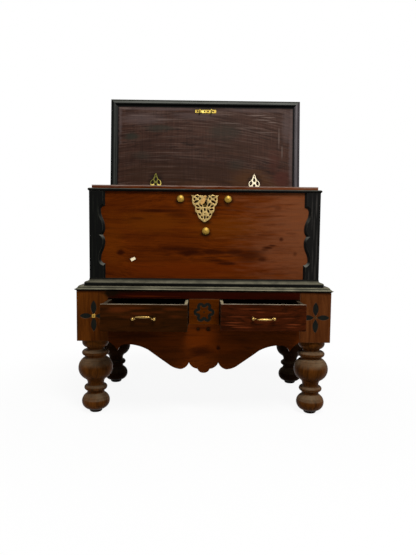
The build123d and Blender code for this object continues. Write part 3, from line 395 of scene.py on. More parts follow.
# Painted shade: a dark band under the waist moulding on both stiles, and near-black painted shade
# at the top of the left stile and the left end of the rail.
painted_shade_under_moulding = ((0.012, 0.0020, 0.0004), (-500, 540, 260, 13, 0.85), (500, 540, 260, 13, 0.85))
deep_painted_shade_top_left = (
    (0.0030, 0.0014, 0.0006), (-384, 530, 48, 26, 1), (-330, 535, 60, 10, 0.7),
    (-402, 528, 26, 24, 1),
)
stile_wood_left = timber(
    "left stile wood", stand_dark, stand_light, stand_figure, "z", figure=0.35
)
add_patches(stile_wood_left, painted_shade_under_moulding, deep_painted_shade_top_left)
stile_wood_right = timber(
    "right stile wood", (0.042, 0.0100, 0.0022), (0.110, 0.033, 0.0085), stand_figure, "z",
    (0.4, 0, 0), figure=0.35,
)
add_patches(stile_wood_right, ((0.060, 0.014, 0.0015), (424, 470, 18, 70, 0.7)), along="z")
add_patches(stile_wood_right, painted_shade_under_moulding)
# The top rail's wood is made very dark as painted shade under the waist moulding; the stand's top
# board takes the same wood.
shaded_rail_wood = timber(
    "rail wood darkened as painted shade", (0.008, 0.0008, 0.0003), (0.024, 0.0014, 0.0004), stand_figure, "x", (0.3, 0, 0.2)
)
add_patches(shaded_rail_wood, ((0.120, 0.0180, 0.0016), (-240, 516.5, 170, 3.0, 0.5)), deep_painted_shade_top_left)
apron_wood = timber(
    "apron wood", (0.030, 0.0050, 0.0005), (0.088, 0.0175, 0.0016),
    (0.008, 0.0010, 0.0003), "x", (0.7, 0, 0.1), figure=0.5,
)
add_patches(
    apron_wood,
    (
        (0.118, 0.0195, 0.0006), (-10, 335, 150, 60, 0.5), (60, 300, 120, 40, 0.45),
        (-120, 330, 90, 40, 0.3),
    ),
    # In the next layer, the patch at the left end is painted shadow of the left drawer.
    (
        (0.010, 0.0012, 0.0004), (62, 300, 13, 14, 1), (-10, 283, 66, 28, 0.75),
        (-30, 292, 40, 10, 0.6), (-50, 352, 90, 8, 0.35), (118, 352, 60, 5, 0.3),
        (0, 383, 70, 9, 0.45), (-310, 356, 140, 40, 0.6),
    ),
    # Near-black painted shade round the two peg holes.
    ((0.0030, 0.0008, 0.0005), (-25, 378, 14, 14, 1), (18, 378, 14, 14, 1)),
)
block_wood = timber(
    "middle block wood", (0.043, 0.0084, 0.0002), (0.095, 0.0205, 0.0003), stand_figure, "x",
    (0.1, 0.3, 0.4), figure=0.3,
)
side_wood = timber("stand side wood", stand_dark, stand_light, stand_figure, "y")
inner_wood = timber(
    "unpolished inner wood", (0.010, 0.005, 0.003), (0.035, 0.018, 0.009),
    (0.006, 0.003, 0.002), "y", figure=0.4, gloss=0.05, dust=0.5,
)
back_wood = timber(
    "unpolished back wood", (0.02, 0.009, 0.0045), (0.065, 0.032, 0.016),
    (0.01, 0.005, 0.003), "x", figure=0.4, gloss=0.05,
)
for node, material, width in (
    ("stand_stile_left", stile_wood_left, 0.0015),
    ("stand_stile_right", stile_wood_right, 0.0015),
    ("stand_top_rail", shaded_rail_wood, 0.0012),
    ("stand_middle_block", block_wood, 0.0008),
    ("stand_apron", apron_wood, 0.0022),
    ("stand_side_left", side_wood, 0.0015),
    ("stand_side_right", side_wood, 0.0015),
    ("stand_back", back_wood, 0.0015),
    ("stand_top_board", shaded_rail_wood, 0.0012),
    ("stand_corner_blocks", inner_wood, 0.001),
    ("drawer_runners", inner_wood, 0.0008),
):
    dress(node, material, width)

# ------------------------------------------------------------- peg holes
# Two bored holes in the apron under the middle block, each plugged flush with
# the end of a turned wooden peg, painted near black as the shade in the hole.


def lathe(name, profile, material, origin, axis, steps):
    """A turned solid: profile is (radius, height) from one end to the other."""
    bm = bmesh.new()
    rings = []
    for radius, height in profile:
        turns = [2 * pi * k / steps for k in range(1 if radius < 1e-7 else steps)]
        ring = [bm.verts.new((radius * cos(turn), radius * sin(turn), height)) for turn in turns]
        rings.append(ring)
    for low, high in zip(rings, rings[1:]):
        for k in range(steps):
            after = (k + 1) % steps
            if len(low) == 1:
                bm.faces.new((low[0], high[k], high[after]))
            elif len(high) == 1:
                bm.faces.new((low[k], high[0], low[after]))
            else:
                bm.faces.new((low[k], low[after], high[after], high[k]))
    bmesh.ops.remove_doubles(bm, verts=bm.verts, dist=1e-6)
    bmesh.ops.recalc_face_normals(bm, faces=bm.faces)
    if axis == "-y":
        bm.transform(Matrix.Rotation(radians(90), 4, "X"))
    bm.transform(Matrix.Translation(origin))
    mesh = mesh_from(bm, name)
    smooth_shade(mesh)
    return new_piece(name, mesh, material)


stand_front_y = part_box("stand_apron")[0].y
shade_black_peg_wood = timber(
    "peg wood, near black as painted shade", (0.004, 0.002, 0.001), (0.012, 0.006, 0.003), (0.003, 0.002, 0.001),
    "y", gloss=0.1, dust=0.0,
)
peg_profile = ((0, -0.02), (0.0038, -0.02), (0.0038, -0.0009), (0.0032, -0.0003), (0, 0))
peg_z = 0.3795
for name, peg_x in (("apron_peg_left", -0.025), ("apron_peg_right", 0.018)):
    peg = lathe(name, peg_profile, shade_black_peg_wood, (peg_x, stand_front_y, peg_z), "-y", 24)
    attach(peg, "root")

# ------------------------------------------------------------------ legs
# Four turned legs of one pattern: cap, ring, big ball, bead, small ball and
# foot, with scored lines, dusty shoulders and blackened feet.


def arc(first, middle, last, count):
    """Points along the arc through three points, without its last point."""
    (ax, ay), (bx, by), (cx, cy) = first, middle, last
    twice = 2 * (ax * (by - cy) + bx * (cy - ay) + cx * (ay - by))
    a2, b2, c2 = ax * ax + ay * ay, bx * bx + by * by, cx * cx + cy * cy
    ox = (a2 * (by - cy) + b2 * (cy - ay) + c2 * (ay - by)) / twice
    oy = (a2 * (cx - bx) + b2 * (ax - cx) + c2 * (bx - ax)) / twice
    start = Vector((ax - ox, ay - oy))
    end = Vector((cx - ox, cy - oy))
    through = Vector((bx - ox, by - oy))
    total = start.angle_signed(end)
    if abs(start.angle_signed(through)) > abs(total) or (
        start.angle_signed(through) * total < 0
    ):
        total -= 2 * pi * (1 if total > 0 else -1)
    return [
        (
            ox + start.x * cos(total * k / count) + start.y * sin(total * k / count),
            oy - start.x * sin(total * k / count) + start.y * cos(total * k / count),
        )
        for k in range(count)
    ]


def arcs(start, *bends):
    """Points along arcs that follow on from one another: (through, end, count) each."""
    points = []
    for through, end, count in bends:
        points += arc(start, through, end, count)
        start = end
    return points


SCORED_HEIGHTS = (259.5, 232, 222, 157, 110.5, 104, 66, 60)
SCORE_DEPTH, SCORE_WIDTH = 0.9, 0.7


def scored(points):
    """Adds the fine lines cut with the tool's point round a turning."""
    cut = []
    for (first, upper), (second, lower) in zip(points, points[1:]):
        cut.append((first, upper))
        for middle in SCORED_HEIGHTS:
            if not lower < middle < upper or upper - lower > 14:
                continue
            for step in (1.6, 0.8, 0.4, 0.0, -0.4, -0.8, -1.6):
                height = middle + step
                if lower < height < upper:
                    share = (upper - height) / (upper - lower)
                    depth = SCORE_DEPTH * exp(-((step / SCORE_WIDTH) ** 2))
                    cut.append((first + share * (second - first) - depth, height))
    cut.append(points[-1])
    return cut


def leg_profile():
    """(radius, height) in millimetres from the cap down to the foot."""
    points = [(0, 383), (18, 383), (18, 323), (56, 323), (57, 322), (57, 306.3)]
    points += arcs(
        (57, 306), ((51, 294), (40, 287), 10), ((36.5, 280), (42, 273.5), 8),
        ((58, 262), (48, 250.5), 16), ((45.5, 246), (49, 240.5), 6), ((73.5, 189), (47, 149), 30),
        ((36, 133.5), (37, 119), 12), ((49.5, 108), (40, 97), 16), ((36.8, 88.5), (41, 79.5), 8),
        ((60, 46), (34, 12.5), 30),
    )
    points += [(34, 12.5)] + arcs((28.5, 9.5), ((27.6, 4), (24.5, 0), 6))
    points += [(24.5, 0), (0, 0)]
    return scored(points)


BLACK_BELOW, BLACK_ENDS = 0.014, 0.027


def leg_wood(name, dark, light, dust_and_sheen_colour, dust, gloss):
    """Turned wood, near black up to 14 mm above the floor and fading back to the wood by 27 mm."""
    material = timber(
        name, dark, light, (0.010, 0.003, 0.001), "z", figure=0.28, streaks=0.15,
        dust_and_sheen_colour=dust_and_sheen_colour, dust=dust, gloss=gloss, worn=(0.1, 0.05, 0.02),
    )
    tree, shader, aged = coat(material)
    place = object_place(tree)
    height = split_vector(tree, place)["Z"]
    black = ramp(tree, height, BLACK_BELOW, BLACK_ENDS, 0.97, 0.0)
    black = blend_colours(tree, black, aged, (0.004, 0.003, 0.002))
    feed(tree, shader, {"Base Color": black})
    return material


# The rear legs take a much darker copy of the leg wood, as painted shade under the stand.
for row, dark, light, dust_and_sheen_colour, dust, gloss in (
    ("front", (0.020, 0.0058, 0.0009), (0.122, 0.038, 0.0060), (0.165, 0.115, 0.068), 0.72, 0.05),
    ("rear", (0.006, 0.0025, 0.0010), (0.026, 0.0100, 0.0030), (0.060, 0.040, 0.024), 0.7, 0.01),
):
    wood = leg_wood(row + " leg wood", dark, light, dust_and_sheen_colour, dust, gloss)
    for hand in ("left", "right"):
        leg = f"leg_{row}_{hand}"
        low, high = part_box(leg)
        centre = (low + high) / 2
        profile = [(radius / 1000, height / 1000) for radius, height in leg_profile()]
        turned = lathe(leg + "_turned", profile, wood, (centre.x, centre.y, 0), "z", 112)
        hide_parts(leg)
        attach(turned, "root")

# ------------------------------------------------------- black mouldings
# Ebonised runs planted round the stand's waist, the chest's foot and under
# its lip: sharp lips and hollows, greyed on top by dust and painted sheen, with lines of painted
# shade.
black_dark, black_light = (0.0012, 0.0012, 0.0010), (0.0055, 0.0055, 0.0042)
black_worn, black_dust_and_sheen = (0.060, 0.058, 0.042), (0.120, 0.112, 0.078)


def black_wood(name, along, dust=0.95, light=black_light, dust_and_sheen_colour=black_dust_and_sheen, wear=0.5):
    """Ebonised wood with its grain along one axis."""
    return timber(
        name, black_dark, light, (0.0008, 0.0008, 0.0007), along, figure=0.5,
        worn=black_worn, wear=wear, dust_and_sheen_colour=dust_and_sheen_colour, dust=dust, gloss=0.05,
        tint=(1, 1, 1), bump=0.5,
    )


# Each run's dust colour also stands for painted sheen on its top faces, and its near-black lines
# are painted shade.
for node, dust, dust_and_sheen_colour, painted_shade_lines in (
    ("waist_moulding", 1.0, (0.195, 0.182, 0.122), ((0, 550.6, 3000, 2.6, 0.8),)),
    (
        "base_moulding", 1.0, (0.132, 0.122, 0.083),
        ((0, 589.4, 3000, 2.8, 0.9), (0, 580.3, 3000, 1.8, 0.5)),
    ),
    ("rim_moulding", 0.7, (0.090, 0.086, 0.066), ((0, 960, 3000, 6, 0.8),)),
):
    for run, along in (("_front", "x"), ("_sides", "y")):
        moulding_wood = black_wood(
            node + run + " wood", along, dust, (0.0030, 0.0030, 0.0022), dust_and_sheen_colour
        )
        add_patches(moulding_wood, ((0.0014, 0.0014, 0.0011), *painted_shade_lines), along=along)
        dress(node + run, moulding_wood, 0.0006, angle=28)

# ---------------------------------------------------------------- inlays
# Black petals and a six-lobed rosette let in flush. The left flower has a
# brass boss in its middle, the right one a wooden ring, the rosette a black dot.
petal_black = timber(
    "inlay black", (0.0020, 0.0024, 0.0016), (0.0080, 0.0085, 0.0055),
    (0.0012, 0.0012, 0.0009), "z", figure=0.3, worn=(0.03, 0.012, 0.005), dust=0.0, tint=(1, 1, 1),
)
for node in ("stile_inlays", "rosette_inlay"):
    dress(node, petal_black, 0.0004, segments=1)
dot_profile = ((0, -0.0005), (0.0032, -0.0005), (0.0032, 0.0002), (0.0026, 0.0004), (0, 0.0005))
rosette_z = 0.450
dot = lathe("rosette_dot", dot_profile, petal_black, (0, stand_front_y, rosette_z), "-y", 24)
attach(dot, "root")

ring_wood = timber(
    "flower ring wood", (0.05, 0.03, 0.012), (0.16, 0.11, 0.05), (0.02, 0.01, 0.005), "z", dust=0.0
)
ring_profile = (
    (0.0022, -0.0004), (0.0024, 0.0005), (0.0034, 0.0010), (0.0046, 0.0005), (0.0048, -0.0004),
    (0.0022, -0.0004),
)
flower_place = (0.473, stand_front_y, 0.4305)
ring = lathe("right_flower_ring", ring_profile, ring_wood, flower_place, "-y", 32)
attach(ring, "root")


def brass_metal(name, base, dark, roughness=0.28, tarnish=0.5):
    """Old cast brass: polished where handled, brown in the hollows."""
    material, tree, shader = new_material(name)
    place = object_place(tree)
    stain = noise(tree, place, 160, 6.0, 0.6, 0.3)
    speck = noise(tree, place, 900, 3.0, 0.6)
    amount = maths(tree, "MULTIPLY", ramp(tree, stain, 0.42, 0.7), tarnish)
    colour = blend_colours(tree, amount, base, dark)
    rough = maths(tree, "MULTIPLY_ADD", stain, 0.3, roughness - 0.12)
    values = {"Strength": 0.25, "Distance": 0.0003, "Height": speck}
    relief = add_node(tree, "ShaderNodeBump", values).outputs["Normal"]
    values = {"Base Color": colour, "Metallic": 1.0, "Roughness": rough, "Normal": relief}
    feed(tree, shader, values)
    return material


old_brass = brass_metal("old brass", (0.42, 0.25, 0.050), (0.16, 0.08, 0.015))
dress("stile_boss", old_brass, 0.0004)

# --------------------------------------------------------------- drawers
# Two plain drawers: a thick dark front, butted sides and back, and a bottom
# board let into grooves. Their top edges are pale where varnish has gone.
front_wood_left = timber(
    "left drawer front wood", (0.006, 0.0016, 0.0003), (0.034, 0.0088, 0.0014),
    (0.003, 0.0010, 0.0004), "x", (0.2, 0, 0.5), figure=0.8, streaks=0.9,
    worn=(0.20, 0.15, 0.10), wear=0.7, dust_and_sheen_colour=(0.26, 0.21, 0.145), dust=1.0, bands=1.7,
)
add_patches(
    front_wood_left,
    (
        (0.072, 0.0150, 0.0030), (-335, 482, 60, 15, 0.75), (-265, 490, 70, 8, 0.7),
        (-250, 468, 60, 8, 0.6), (-300, 455, 50, 7, 0.4), (-125, 486, 50, 9, 0.5),
        (-115, 458, 45, 8, 0.45), (-180, 474, 40, 6, 0.4),
    ),
)
front_wood_right = timber(
    "right drawer front wood", (0.007, 0.0012, 0.0003), (0.058, 0.0102, 0.0026),
    (0.004, 0.0010, 0.0005), "x", (0.9, 0, 0.3), figure=0.85, streaks=0.95,
    worn=(0.22, 0.16, 0.11), wear=0.7, dust_and_sheen_colour=(0.28, 0.23, 0.165), dust=1.0, bands=1.8,
)
add_patches(
    front_wood_right,
    (
        (0.130, 0.0270, 0.0080), (118, 431, 42, 3.5, 0.9), (112, 421, 48, 3.5, 0.8),
        (150, 413, 50, 3, 0.7), (355, 425, 38, 3.5, 0.8), (345, 415, 32, 3, 0.7),
        (221, 474, 26, 3, 0.6), (180, 486, 60, 3.5, 0.5), (300, 470, 50, 3, 0.5),
        (250, 440, 60, 3, 0.5), (130, 455, 50, 3.5, 0.5), (330, 450, 40, 3, 0.5),
    ),
)
drawer_box_wood = timber(
    "drawer box wood", (0.006, 0.003, 0.0015), (0.022, 0.012, 0.006),
    (0.004, 0.002, 0.001), "y", figure=0.4, worn=(0.20, 0.16, 0.10), wear=0.9,
    dust_and_sheen_colour=(0.10, 0.08, 0.055), dust=0.4, gloss=0.04,
)
add_patches(
    drawer_box_wood,
    ((0.42, 0.36, 0.22), (-73, 507, 13, 14, 0.8), (73, 507, 13, 14, 0.7)),
    along="y",
)
for hand, face in (("left", front_wood_left), ("right", front_wood_right)):
    dress(f"drawer_{hand}_front", face, 0.0012)
    for part, width in (("sides", 0.0008), ("back", 0.0008), ("bottom", 0.0006)):
        dress(f"drawer_{hand}_{part}", drawer_box_wood, width)

# --------------------------------------------------------- drawer handles
# Cast brass bails that turn in drilled ball posts on the drawer fronts. Both
# bails are stiff and stand out from the wood.
bail_brass = brass_metal("handled brass", (0.30, 0.190, 0.057), (0.12, 0.06, 0.015), 0.26, 0.6)
for hand in ("left", "right"):
    dress(f"drawer_{hand}_handle_posts", bail_brass, 0.0003, angle=40)
    dress(f"drawer_{hand}_bail", bail_brass, 0.0002, angle=40)

# ------------------------------------------------------------- chest case
# Five wide boards butted into a box; the front is the best plank, with long
# dark figure low on its right, and its top edge shows above the moulding.
case_dark, case_light = (0.034, 0.0046, 0.0003), (0.112, 0.0205, 0.0011)
case_figure = (0.014, 0.0014, 0.0004)
case_front_wood = timber(
    "case front wood", case_dark, case_light, case_figure, "x", (0.55, 0.1, 0.35),
    figure=0.2, worn=(0.16, 0.085, 0.055), wear=0.9, dust_and_sheen_colour=(0.15, 0.085, 0.055), dust=0.6,
    bands=1.5, bump=0.5,
)
add_patches(
    case_front_wood,
    (
        (0.100, 0.0220, 0.0008), (-230, 830, 190, 60, 0.6), (90, 810, 200, 60, 0.6),
        (-390, 760, 60, 150, 0.35),
    ),
    ((0.100, 0.0140, 0.0006), (-100, 625, 320, 45, 0.6), (150, 640, 260, 40, 0.55)),
    # Painted sheen: a pale pinkish haze over the right part of the front, as the reflection of a
    # light on the right.
    ((0.170, 0.060, 0.026), (500, 800, 410, 460, 0.42)),
    ((0.170, 0.060, 0.026), (410, 840, 170, 230, 0.24), (330, 700, 140, 90, 0.15)),
    ((0.230, 0.160, 0.130), (0, 986, 3000, 10, 1)),
    (
        (0.016, 0.0018, 0.0005), (-205, 876, 160, 9, 0.8), (-110, 860, 60, 12, 0.55),
        (-290, 843, 40, 8, 0.55), (-165, 898, 30, 14, 0.3), (-357, 699, 21, 15, 0.95),
        (-95, 716, 130, 13, 0.85), (-60, 700, 85, 18, 0.95), (-70, 692, 40, 9, 0.9),
        (40, 706, 85, 18, 0.85), (130, 706, 70, 16, 0.8), (190, 690, 80, 34, 0.75),
        (243, 676, 34, 13, 0.75), (48, 668, 66, 10, 0.8), (92, 655, 56, 9, 0.85),
        (20, 680, 50, 6, 0.6), (-190, 706, 60, 7, 0.5), (100, 686, 60, 6, 0.5),
        (270, 725, 28, 8, 0.85), (288, 733, 22, 6, 0.8), (255, 716, 20, 6, 0.6),
        (325, 761, 12, 11, 0.75), (385, 700, 12, 12, 0.5), (310, 893, 20, 14, 0.35),
        (366, 786, 30, 7, 0.35), (-260, 706, 60, 8, 0.35),
    ),
    # Painted shade: near black behind the pierced plate's holes, and painted shadows just below the
    # three studs and the paper label.
    (
        (0.0020, 0.0010, 0.0006), (-1.5, 930, 80, 22, 1), (-30, 918, 40, 34, 1),
        (27, 918, 40, 34, 1), (-1.5, 900, 70, 34, 1), (-1.5, 880, 56, 32, 1),
        (-1.5, 862, 42, 30, 1), (-1.5, 846, 28, 22, 1), (-2, 928, 92, 34, 1), (-2, 900, 78, 34, 1),
        (-2, 872, 62, 34, 1), (-1.5, 842, 36, 32, 1), (-105, 920, 27, 24, 1), (96, 920, 27, 24, 1),
        (3, 785, 27, 24, 1), (-304, 668, 20, 12, 0.6),
    ),
)
case_side_wood = timber("case side wood", case_dark, case_light, case_figure, "y", dust=0.5)
case_back_wood = timber(
    "case back wood", case_dark, (0.08, 0.020, 0.004), case_figure, "x", (0.2, 0.4, 0.1), dust=0.5
)
for node, wood, width in (
    ("case_front_board", case_front_wood, 0.002),
    ("case_side_left", case_side_wood, 0.002),
    ("case_side_right", case_side_wood, 0.002),
    ("case_back_board", case_back_wood, 0.0015),
    ("case_bottom_board", back_wood, 0.001),
):
    dress(node, wood, width)

# ------------------------------------------------------------- pilasters
# Scalloped, bevelled strips planted round each front corner, ebonised, with light
# streaks painted along the bevels as highlights; the right strip is painted lighter than the left,
# as light from the right.
for hand, light, bevel_highlight, strength in (
    ("left", (0.0013, 0.0015, 0.0010), (0.013, 0.0145, 0.010), 0.28),
    ("right", (0.0058, 0.0052, 0.0044), (0.050, 0.045, 0.040), 0.45),
):
    upright = black_wood(f"{hand} pilaster wood", "z", 1.0, light, (0.130, 0.130, 0.110), 0.35)
    side = -1 if hand == "left" else 1
    streaks = [
        (side * x, z, half_width, half_height, strength * share)
        for x, z, half_width, half_height, share in (
            (470, 905, 5, 60, 1), (452, 880, 4, 80, 0.7), (462, 810, 4, 90, 0.6),
            (474, 730, 4, 90, 0.8), (458, 680, 4, 70, 0.6), (470, 610, 5, 60, 0.8),
            (444, 600, 4, 50, 0.6),
        )
    ]
    add_patches(upright, (bevel_highlight, *streaks), along="z")
    dress(f"pilaster_{hand}", upright, 0.0008, angle=25)

# ------------------------------------------------- escutcheon, cover, studs
# Brass plate over the keyhole, sawn out in leaves and scallops, its swinging
# cover on a rivet, and three domed studs; round-headed pins hold the plate.
plate_brass = brass_metal("plate brass", (0.445, 0.315, 0.122), (0.17, 0.098, 0.030), 0.34, 0.75)
plate_low, plate_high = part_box("escutcheon")
plate_middle_x = (plate_low.x + plate_high.x) / 2
# The right half of the plate's outline, from its foot up, and the holes sawn in
# it: (x, height, turn, length, width), in mm and degrees from the foot's middle.
PLATE_EDGE = (
    ((9, 4.6), (16.5, 10.8), 6), ((24.3, 17), (28, 26.8), 6), ((30.4, 31.8), (31, 37.3), 6),
    ((38, 43.3), (40, 53.8), 6), ((40.3, 59.4), (40.4, 65), 6), ((47, 71.3), (52.4, 81.7), 6),
    ((53.4, 94), (52.4, 105.8), 6),
)
PLATE_EAR = [(52.4, 105.8), (57.6, 112.8)]
PLATE_LOBE = ((31.5, 114.4), (22.5, 108.8), 8)
PLATE_TOP = [(22.5, 108.8), (18, 112.6), (13.5, 108.8)]
PLATE_PEAK = (0, 110.6)
PLATE_LEAVES = (
    (34.4, 105.6, 4, 16.0, 9.0), (44.8, 95.8, 80, 13.0, 9.4), (21.0, 97.6, 88, 13.0, 9.2),
    (36.4, 84.8, -30, 24.5, 11.2), (18.8, 72.8, 64, 19.0, 9.8), (31.0, 66.4, 32, 17.5, 9.6),
    (28.6, 53.0, 3, 18.0, 9.4), (15.0, 45.8, 114, 17.5, 9.8), (23.2, 32.2, 40, 13.5, 9.2),
    (12.0, 20.0, 60, 12.5, 9.0), (-32.2, 106.2, -8, 14.0, 10.0), (-44.0, 96.4, 98, 12.5, 9.4),
    (-20.6, 97.8, 90, 12.0, 9.2), (-35.6, 85.8, 27, 24.0, 10.6), (-17.0, 71.8, -54, 20.0, 10.2),
    (-29.6, 66.4, -33, 18.0, 9.6), (-28.8, 53.2, -3, 18.0, 9.2), (-13.8, 45.8, 100, 18.0, 9.4),
    (-21.8, 32.4, -42, 14.5, 9.4), (-11.6, 20.0, 120, 12.5, 9.0), (0.4, 52.4, 90, 15.0, 8.6),
    (0.4, 19.8, 91, 17.5, 8.0), (0.2, 34.6, 90, 8.0, 4.6),
)


def closed_line(points):
    """A closed straight-sided spline through points, for a flat curve."""
    line = plate_curve.splines.new("POLY")
    line.points.add(len(points) - 1)
    for point, (x, z) in zip(line.points, points):
        point.co = (x / 1000, z / 1000, 0, 1)
    line.use_cyclic_u = True


def leaf(x, z, turn, length, width, count=18):
    """The outline of a pierced leaf, pointed at both ends."""
    outline = []
    for k in range(count):
        angle = 2 * pi * k / count
        along = length / 2 * cos(angle)
        across = width / 2 * sin(angle) * abs(sin(angle)) ** 0.35
        outline.append(
            (
                x + along * cos(radians(turn)) - across * sin(radians(turn)),
                z + along * sin(radians(turn)) + across * cos(radians(turn)),
            )
        )
    return outline


plate_curve = bpy.data.curves.new("pierced plate", "CURVE")
plate_curve.dimensions = "2D"
plate_curve.fill_mode = "BOTH"
plate_curve.extrude = 0.00055
plate_curve.bevel_depth = 0.00025
plate_curve.bevel_resolution = 1
edge = arcs((0, 0), *PLATE_EDGE) + PLATE_EAR + arcs((43, 109.3), PLATE_LOBE) + PLATE_TOP
closed_line(edge + [PLATE_PEAK] + [(-x, z) for x, z in reversed(edge[1:])])
for sawn_leaf in PLATE_LEAVES:
    closed_line(leaf(*sawn_leaf))
key_x, key_z, key_half_width, key_half_height, key_foot = -0.2, 77, 9.6, 11.6, 63
keyhole = [
    (key_half_width * cos(radians(turn)) + key_x, key_z + key_half_height * sin(radians(turn)))
    for turn in range(-50, 231, 20)
]
closed_line(keyhole + [(key_x - 6, key_foot), (key_x + 6, key_foot)])
drawn = bpy.data.objects.new("pierced plate", plate_curve)
bpy.context.scene.collection.objects.link(drawn)
plate_mesh = bpy.data.meshes.new_from_object(
    drawn.evaluated_get(bpy.context.evaluated_depsgraph_get())
)
bpy.data.objects.remove(drawn)
plate_mesh.transform(Matrix.Rotation(radians(90), 4, "X"))
plate_mesh.transform(
    Matrix.Translation((plate_middle_x, (plate_low.y + plate_high.y) / 2, plate_low.z))
)
bm = bmesh.new()
bm.from_mesh(plate_mesh)
bmesh.ops.remove_doubles(bm, verts=bm.verts, dist=1e-6)
bmesh.ops.recalc_face_normals(bm, faces=bm.faces)
bm.to_mesh(plate_mesh)
bm.free()
smooth_shade(plate_mesh, 40)
plate = new_piece("pierced_plate", plate_mesh, plate_brass)
# A dark diagonal line and a dark spot by the keyhole are painted on the plate as the cover's
# shadow.
add_patches(
    plate_brass,
    (
        (0.020, 0.011, 0.006), (11, 939, 6, 10, 1), (8, 930, 6, 10, 1), (5, 921, 7, 10, 1),
        (1, 910, 13, 13, 1),
    ),
)
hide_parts("escutcheon")
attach(plate, "root")
cover_brass = brass_metal("cover brass", (0.49, 0.285, 0.092), (0.18, 0.09, 0.027), 0.36, 0.6)
for node in ("keyhole_cover", "cover_rivet"):
    dress(node, cover_brass, 0.0003)
stud_brass = brass_metal("stud brass", (0.315, 0.195, 0.037), (0.14, 0.074, 0.009), 0.48, 0.4)
dress("case_studs", stud_brass, 0.0003, angle=50)

# The pins are one small turned head set on each point of a mesh of points,
# whose facing attribute says which way the heads look.
pin_tree = bpy.data.node_groups.new("round-headed pins", "GeometryNodeTree")
pin_sockets = {}
for label, way, kind in (
    ("Places", "INPUT", "Geometry"), ("Head Radius", "INPUT", "Float"),
    ("Metal", "INPUT", "Material"), ("Pins", "OUTPUT", "Geometry"),
):
    kind = "NodeSocket" + kind
    pin_sockets[label] = pin_tree.interface.new_socket(label, in_out=way, socket_type=kind)
given = pin_tree.nodes.new("NodeGroupInput").outputs
end = pin_tree.nodes.new("NodeGroupOutput")
values = {"Segments": 14, "Rings": 8, "Radius": given["Head Radius"]}
head = add_node(pin_tree, "GeometryNodeMeshUVSphere", values).outputs["Mesh"]
values = {"Geometry": head, "Scale": (1, 1, 0.55)}
flattened = add_node(pin_tree, "GeometryNodeTransform", values).outputs["Geometry"]
facing = add_node(
    pin_tree, "GeometryNodeInputNamedAttribute", {"Name": "facing"}, data_type="FLOAT_VECTOR"
)
values = {"Vector": facing.outputs["Attribute"]}
aim = add_node(pin_tree, "FunctionNodeAlignEulerToVector", values, axis="Z").outputs["Rotation"]
values = {"Points": given["Places"], "Instance": flattened, "Rotation": aim}
heads = add_node(pin_tree, "GeometryNodeInstanceOnPoints", values).outputs["Instances"]
for kind, values in (
    ("GeometryNodeRealizeInstances", {}),
    ("GeometryNodeSetShadeSmooth", {}),
    ("GeometryNodeSetMaterial", {"Material": given["Metal"]}),
):
    heads = add_node(pin_tree, kind, {"Geometry": heads, **values}).outputs["Geometry"]
feed(pin_tree, end, {"Pins": heads})


def pins(name, places, facing, radius, metal, body):
    """Round pin heads at places, all facing one way, riding on one body."""
    mesh = bpy.data.meshes.new(name)
    mesh.from_pydata(places, [], [])
    way = mesh.attributes.new("facing", "FLOAT_VECTOR", "POINT")
    for item in way.data:
        item.vector = facing
    ob = new_piece(name, mesh, None)
    made = ob.modifiers.new("pins", "NODES")
    made.node_group = pin_tree
    made[pin_sockets["Head Radius"].identifier] = radius
    made[pin_sockets["Metal"].identifier] = metal
    finished_mesh(ob)
    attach(ob, body)


pins(
    "plate_pins",
    [
        (plate_middle_x + x / 1000, plate_low.y, plate_low.z + z / 1000)
        for x, z in ((-49.5, 106.5), (49.5, 106.5), (0, 5.0), (-36.5, 58.5), (36.5, 58.5))
    ],
    facing=(0, -1, 0), radius=0.0016, metal=cover_brass, body="root",
)

# --------------------------------------------------------- paper label
# A small blank slip of cream paper pasted to the front board at a slant, with
# one corner lifting off the wood.
paper, tree, shader = new_material("cream paper")
place = object_place(tree)
mottle = noise(tree, place, 260, 5.0, 0.6)
cream = blend_colours(tree, ramp(tree, mottle, 0.35, 0.7), (1.0, 0.88, 0.62), (0.9, 0.74, 0.46))
rough = maths(tree, "MULTIPLY_ADD", mottle, 0.2, 0.6)
feed(tree, shader, {"Base Color": cream, "Roughness": rough, "Specular IOR Level": 0.1})
label_width, label_height, label_thickness, corner_lift = 0.020, 0.0115, 0.0002, 0.0048
label_slant = radians(-28)
label_place = (-0.3045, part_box("case_front_board")[0].y, 0.671)
across, upward = 12, 8
bm = bmesh.new()
slip = {}
for i, j, side in product(range(across + 1), range(upward + 1), (0, 1)):
    x, z = i / across - 0.5, j / upward - 0.5
    lift = corner_lift * max(0.0, x + z - 0.45) ** 2 + side * label_thickness
    slip[i, j, side] = bm.verts.new((x * label_width, -lift, z * label_height))
for i, j, side in product(range(across), range(upward), (0, 1)):
    corners = ((i, j), (i + 1, j), (i + 1, j + 1), (i, j + 1))
    bm.faces.new([slip[(*corner, side)] for corner in corners])
rim = [(i, 0) for i in range(across)] + [(across, j) for j in range(upward)]
rim += [(across - i, upward - j) for i, j in rim]
for here, there in zip(rim, rim[1:] + rim[:1]):
    bm.faces.new([slip[here + (0,)], slip[there + (0,)], slip[there + (1,)], slip[here + (1,)]])
bm.transform(Matrix.Rotation(label_slant, 4, "Y"))
bm.transform(Matrix.Translation(label_place))
bmesh.ops.recalc_face_normals(bm, faces=bm.faces)
label_mesh = mesh_from(bm, "paper_label")
smooth_shade(label_mesh)
label = new_piece("paper_label", label_mesh, paper)
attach(label, "root")

# ------------------------------------------------------------------ lock
# Brass sheet lock case on the inside of the front board, with a brass bolt
# that slides sideways through the lid's two staples when the lid is shut.
for node in ("lock_case", "lock_bolt"):
    dress(node, old_brass, 0.0004)

